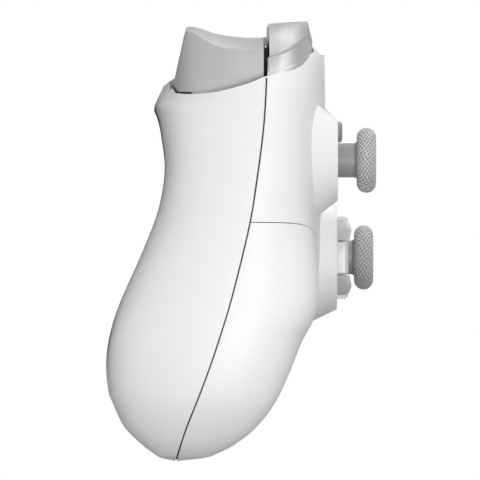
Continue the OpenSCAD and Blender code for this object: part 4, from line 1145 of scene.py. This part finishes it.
# Trim that the covers show along their edges
def edge_path(w, side):
    """Line on the parting at inset w, along the shoulder edge or the grip edge."""
    t = np.linspace(0, reach(w), 300)
    t[0] = 1e-6
    s = inset(t, w)
    x, y = (s[:, 0], s[:, 1]) if side > 0 else (s[:, 2], s[:, 3])
    return np.c_[x, y, curve(PARTING_LINE, y)]


def parting_strip():
    """Black lip of the inner frame filling the bottom of the parting gap, partly as painted shade.
    """
    outer, inner = edge_path(0.25, 1), edge_path(0.25, -1)
    deep_outer, deep_inner = edge_path(1.7, 1), edge_path(1.7, -1)
    top = min(i for i in range(len(outer)) if outer[i][1] < 39.2)
    up = np.array([0, 0, 0.35])
    strips = []
    for near, deep in ((outer[top:], deep_outer[top:]), (inner, deep_inner)):
        strips.append(loft([[a - up, a + up, b + up, b - up] for a, b in zip(near, deep)]))
    return pair(add(*strips))


def tube(path, r):
    """Round bar along a path, with rounded ends."""
    path = np.asarray(path, float)
    along = unit(np.gradient(path, axis=0))
    a = unit(np.cross(along, [1.0, 0.15, 0.1]))
    b = np.cross(along, a)
    q = 2 * np.pi * np.arange(10) / 10
    size = np.full(len(path), r)
    size[0] = size[-1] = r * 0.3
    rings = path[:, None] + size[:, None, None] * (np.cos(q)[None, :, None] * a[:, None]
                                                   + np.sin(q)[None, :, None] * b[:, None])
    return shade(loft(rings), 60)


def rim_bead(grids):
    """Rolled edge of the covers where they pass under the left-hand keys."""
    tree, path = skin_tree(grids)[0], []
    for y, z in through(RIM_LINE[2:11], 12):
        hit = tree.ray_cast(Vector((-120, y - 0.1, z)), Vector((1, 0, 0)))[0]
        if hit:
            path.append(hit + Vector((0.12, 0, 0)))
    return tube(path, 0.22)


# Assembly
def split_front():
    """Faceplate between the seams, and the two grip panels beyond them."""
    grids = [sheet(ROWS, ACROSS, 0, 1)]
    whole = front_solid()
    panel = cover_solid(1, ROWS, ACROSS)
    x, y, z = SCREWS[3]
    add(panel, trimmed(rod(x, y, z, 0, POST_R), 1))
    keep(panel, panel_prism(0))
    cut(panel, rod(x, y, z - 1, z + 7, SCREW_HOLE_R))
    front_cut(whole)
    cut(whole, *pair(panel_prism(SEAM)))
    return [shade(o, 28, grids) for o in (whole, *pair(panel))]


def shells():
    front, *panels = split_front()
    place(front, "faceplate", "pad", SHELL, "shell_white", ["front_cover"])
    for side, panel in zip(SIDES, panels):
        place(panel, "grip_panel_" + side, "pad", SHELL, "shell_white", [side + "_grip_panel"])
    rear = shade(rear_cut(rear_solid()), 28, [sheet(ROWS, REAR_ACROSS, 0, -1)])
    place(rear, "back_shell", "pad", SHELL_REAR, "shell_rear", ["rear_cover"])
    for side, strip in zip(SIDES, parting_strip()):
        # Black plastic that also stands in for the shade inside the parting gap
        place(shade(strip, 30), "parting_strip_" + side, "pad", BLACK, "black_plastic")
    bead = rim_bead([sheet(ROWS, ACROSS, 0, 1), sheet(ROWS, ACROSS, 0, -1)])
    for side, half in zip(("right", "left"), pair(bead)):
        place(half, "rim_bead_" + side, "pad", SHELL, "shell_white")


def shoulder_keys():
    for make, kind, paint in ((trigger_solid, "trigger", KEY),
                              (bumper_solid, "bumper", BUMPER_KEY)):
        right = make()
        for side, key in zip(SIDES, (shade_mirrored(right), right)):
            node = side + "_" + kind
            place(key, kind + "_" + side, node, paint, "key_grey", [node])
    for side, band in zip(SIDES, pair(shade(loft(band_rings(0)), 40))):
        place(band, "band_" + side, side + "_bumper", BAND_SILVER, "band_silver",
              [side + "_bumper_band"])


def shade_mirrored(obj):
    """Mirrored copy that keeps the shading of curved skins."""
    normals = loop_normals(obj.data) * [-1, 1, 1]
    spots = {}
    for face in obj.data.polygons:
        for loop in face.loop_indices:
            spots[(face.index, obj.data.loops[loop].vertex_index)] = normals[loop]
    copy = mirrored(obj)
    turned = [spots[(face.index, copy.data.loops[loop].vertex_index)]
              for face in copy.data.polygons for loop in face.loop_indices]
    copy.data.normals_split_custom_set([tuple(n) for n in turned])
    return copy


def controls():
    for side, centre in zip(SIDES, (LEFT_STICK, RIGHT_STICK)):
        body = side + "_stick"
        place(stick_cap(centre), side + "_thumb_cap", body, RUBBER, "stick_rubber",
              [side + "_stick_cap"])
        place(stick_stem(centre), side + "_thumb_stem", body, STEM, "stick_plastic",
              [side + "_stick_stem"])
    cross = place(cross_solid(), "direction_cross", "cross_pad", CROSS_GREY, "cross_grey",
                  ["cross_pad"])
    # Second material: painted shade on the cross's groove walls
    cross.data.materials.append(GROOVE_PAINTED_SHADE)
    for spot, name in zip(button_places(), ("right", "upper", "left", "lower")):
        node = "face_button_" + name
        key = button(spot, float(face_z(*spot)) + BUTTON_RISE, BUTTON_D / 2, BUTTON_D / 2 + 1,
                     FLANGE_Z, FLANGE_Z)
        place(key, "action_button_" + name, node, BUTTON, "button_grey", [node])
    low = SWITCH_TOP + 0.3 + 0.05
    home = button(HOME, HOME_TOP - 0.05, HOME_D / 2, HOME_D / 2 + 0.8, HOME_SEAT, low)
    place(home, "menu_dome", "home_button", BUTTON, "button_grey", ["home_button"])
    for side, spot in zip(SIDES, SMALL_PLACES):
        node = side + "_function_button"
        key = button(spot, SMALL_RISE, SMALL_D / 2, SMALL_D / 2 + 0.9, SMALL_SEAT, low)
        place(key, side + "_small_button", node, SMALL_BUTTON, "small_button_grey", [node])
    key = button(CAPTURE, 0.3, CAPTURE_D / 2, CAPTURE_D / 2 + 0.8, SMALL_SEAT, low)
    place(key, "share_button", "capture_button", SMALL_BUTTON, "small_button_grey",
          ["capture_button"])


shells()
shoulder_keys()
controls()


# Stage
def floor():
    size = 1.5
    points = [[-size, -size, 0], [size, -size, 0], [size, size, 0], [-size, size, 0]]
    plane = mesh_object("floor", points, [(0, 1, 2, 3)])
    plane.data.materials.append(FLOOR)


def world(ambient, gloss):
    """White to the camera, a pale level in reflections, and a plain level to light the pad."""
    studio = bpy.data.worlds.new("studio")
    bpy.context.scene.world = studio
    studio.use_nodes = True
    tree = studio.node_tree
    path = new_node(tree, "LightPath")
    seen = new_node(tree, "Background", Color=(ambient, ambient, ambient, 1)).outputs[0]
    for ray, level in (("Is Glossy Ray", gloss), ("Is Camera Ray", 1)):
        other = new_node(tree, "Background", Color=(level, level, level, 1))
        mix = new_node(tree, "MixShader")
        tree.links.new(path.outputs[ray], mix.inputs["Fac"])
        tree.links.new(seen, mix.inputs[1])
        tree.links.new(other.outputs[0], mix.inputs[2])
        seen = mix.outputs[0]
    tree.links.new(seen, tree.nodes["World Output"].inputs["Surface"])


def lamp(name, direction, size, power, distance=1.2):
    """Soft square lamp that shines at the pad from a direction given in the face frame."""
    data = bpy.data.lights.new(name, "AREA")
    data.shape = "SQUARE"
    data.size = size
    data.energy = power
    obj = new_object(name, data)
    toward = row_direction(*direction).normalized()
    obj.location = Vector(to_row([0, 0, -23.5]).tolist()) + toward * distance
    obj.rotation_euler = toward.to_track_quat("Z", "Y").to_euler()


# Pixels across the photograph, millimetres in each, and metres from the lens to the middle
PICTURE = 480
SCALE_MM = 0.245
VIEW_DISTANCE = 5.0


def camera():
    """Long lens on the left side, level with the table, with the shoulders at the top."""
    data = bpy.data.cameras.new("camera")
    obj = new_object("camera", data)
    bpy.context.scene.camera = obj
    target = Vector(to_row([0, 0, -23.52]).tolist())
    spot = Vector((-VIEW_DISTANCE, target.y, 0))
    back = (spot - target).normalized()
    up = row_direction(0, 1, 0)
    right = up.cross(back).normalized()
    up = back.cross(right)
    turn = Matrix((right, up, back)).transposed().to_4x4()
    obj.matrix_world = Matrix.Translation(spot) @ turn
    data.sensor_width = 36
    data.lens = 36 * VIEW_DISTANCE / (PICTURE * SCALE_MM / 1000)
    data.clip_end = 20


floor()
world(0.14, 0.4)
lamp("key", (-1, -0.03, 0.3), 0.2, 0.74, 0.45)
lamp("shoulder_fill", (-0.6, 1, 0.1), 0.8, 7)
lamp("far_shoulder_fill", (0.5, 1, 0.15), 0.8, 13)
lamp("face_fill", (-0.15, 0.1, 1), 1.2, 3)
camera()

bpy.context.scene.view_settings.view_transform = "Standard"
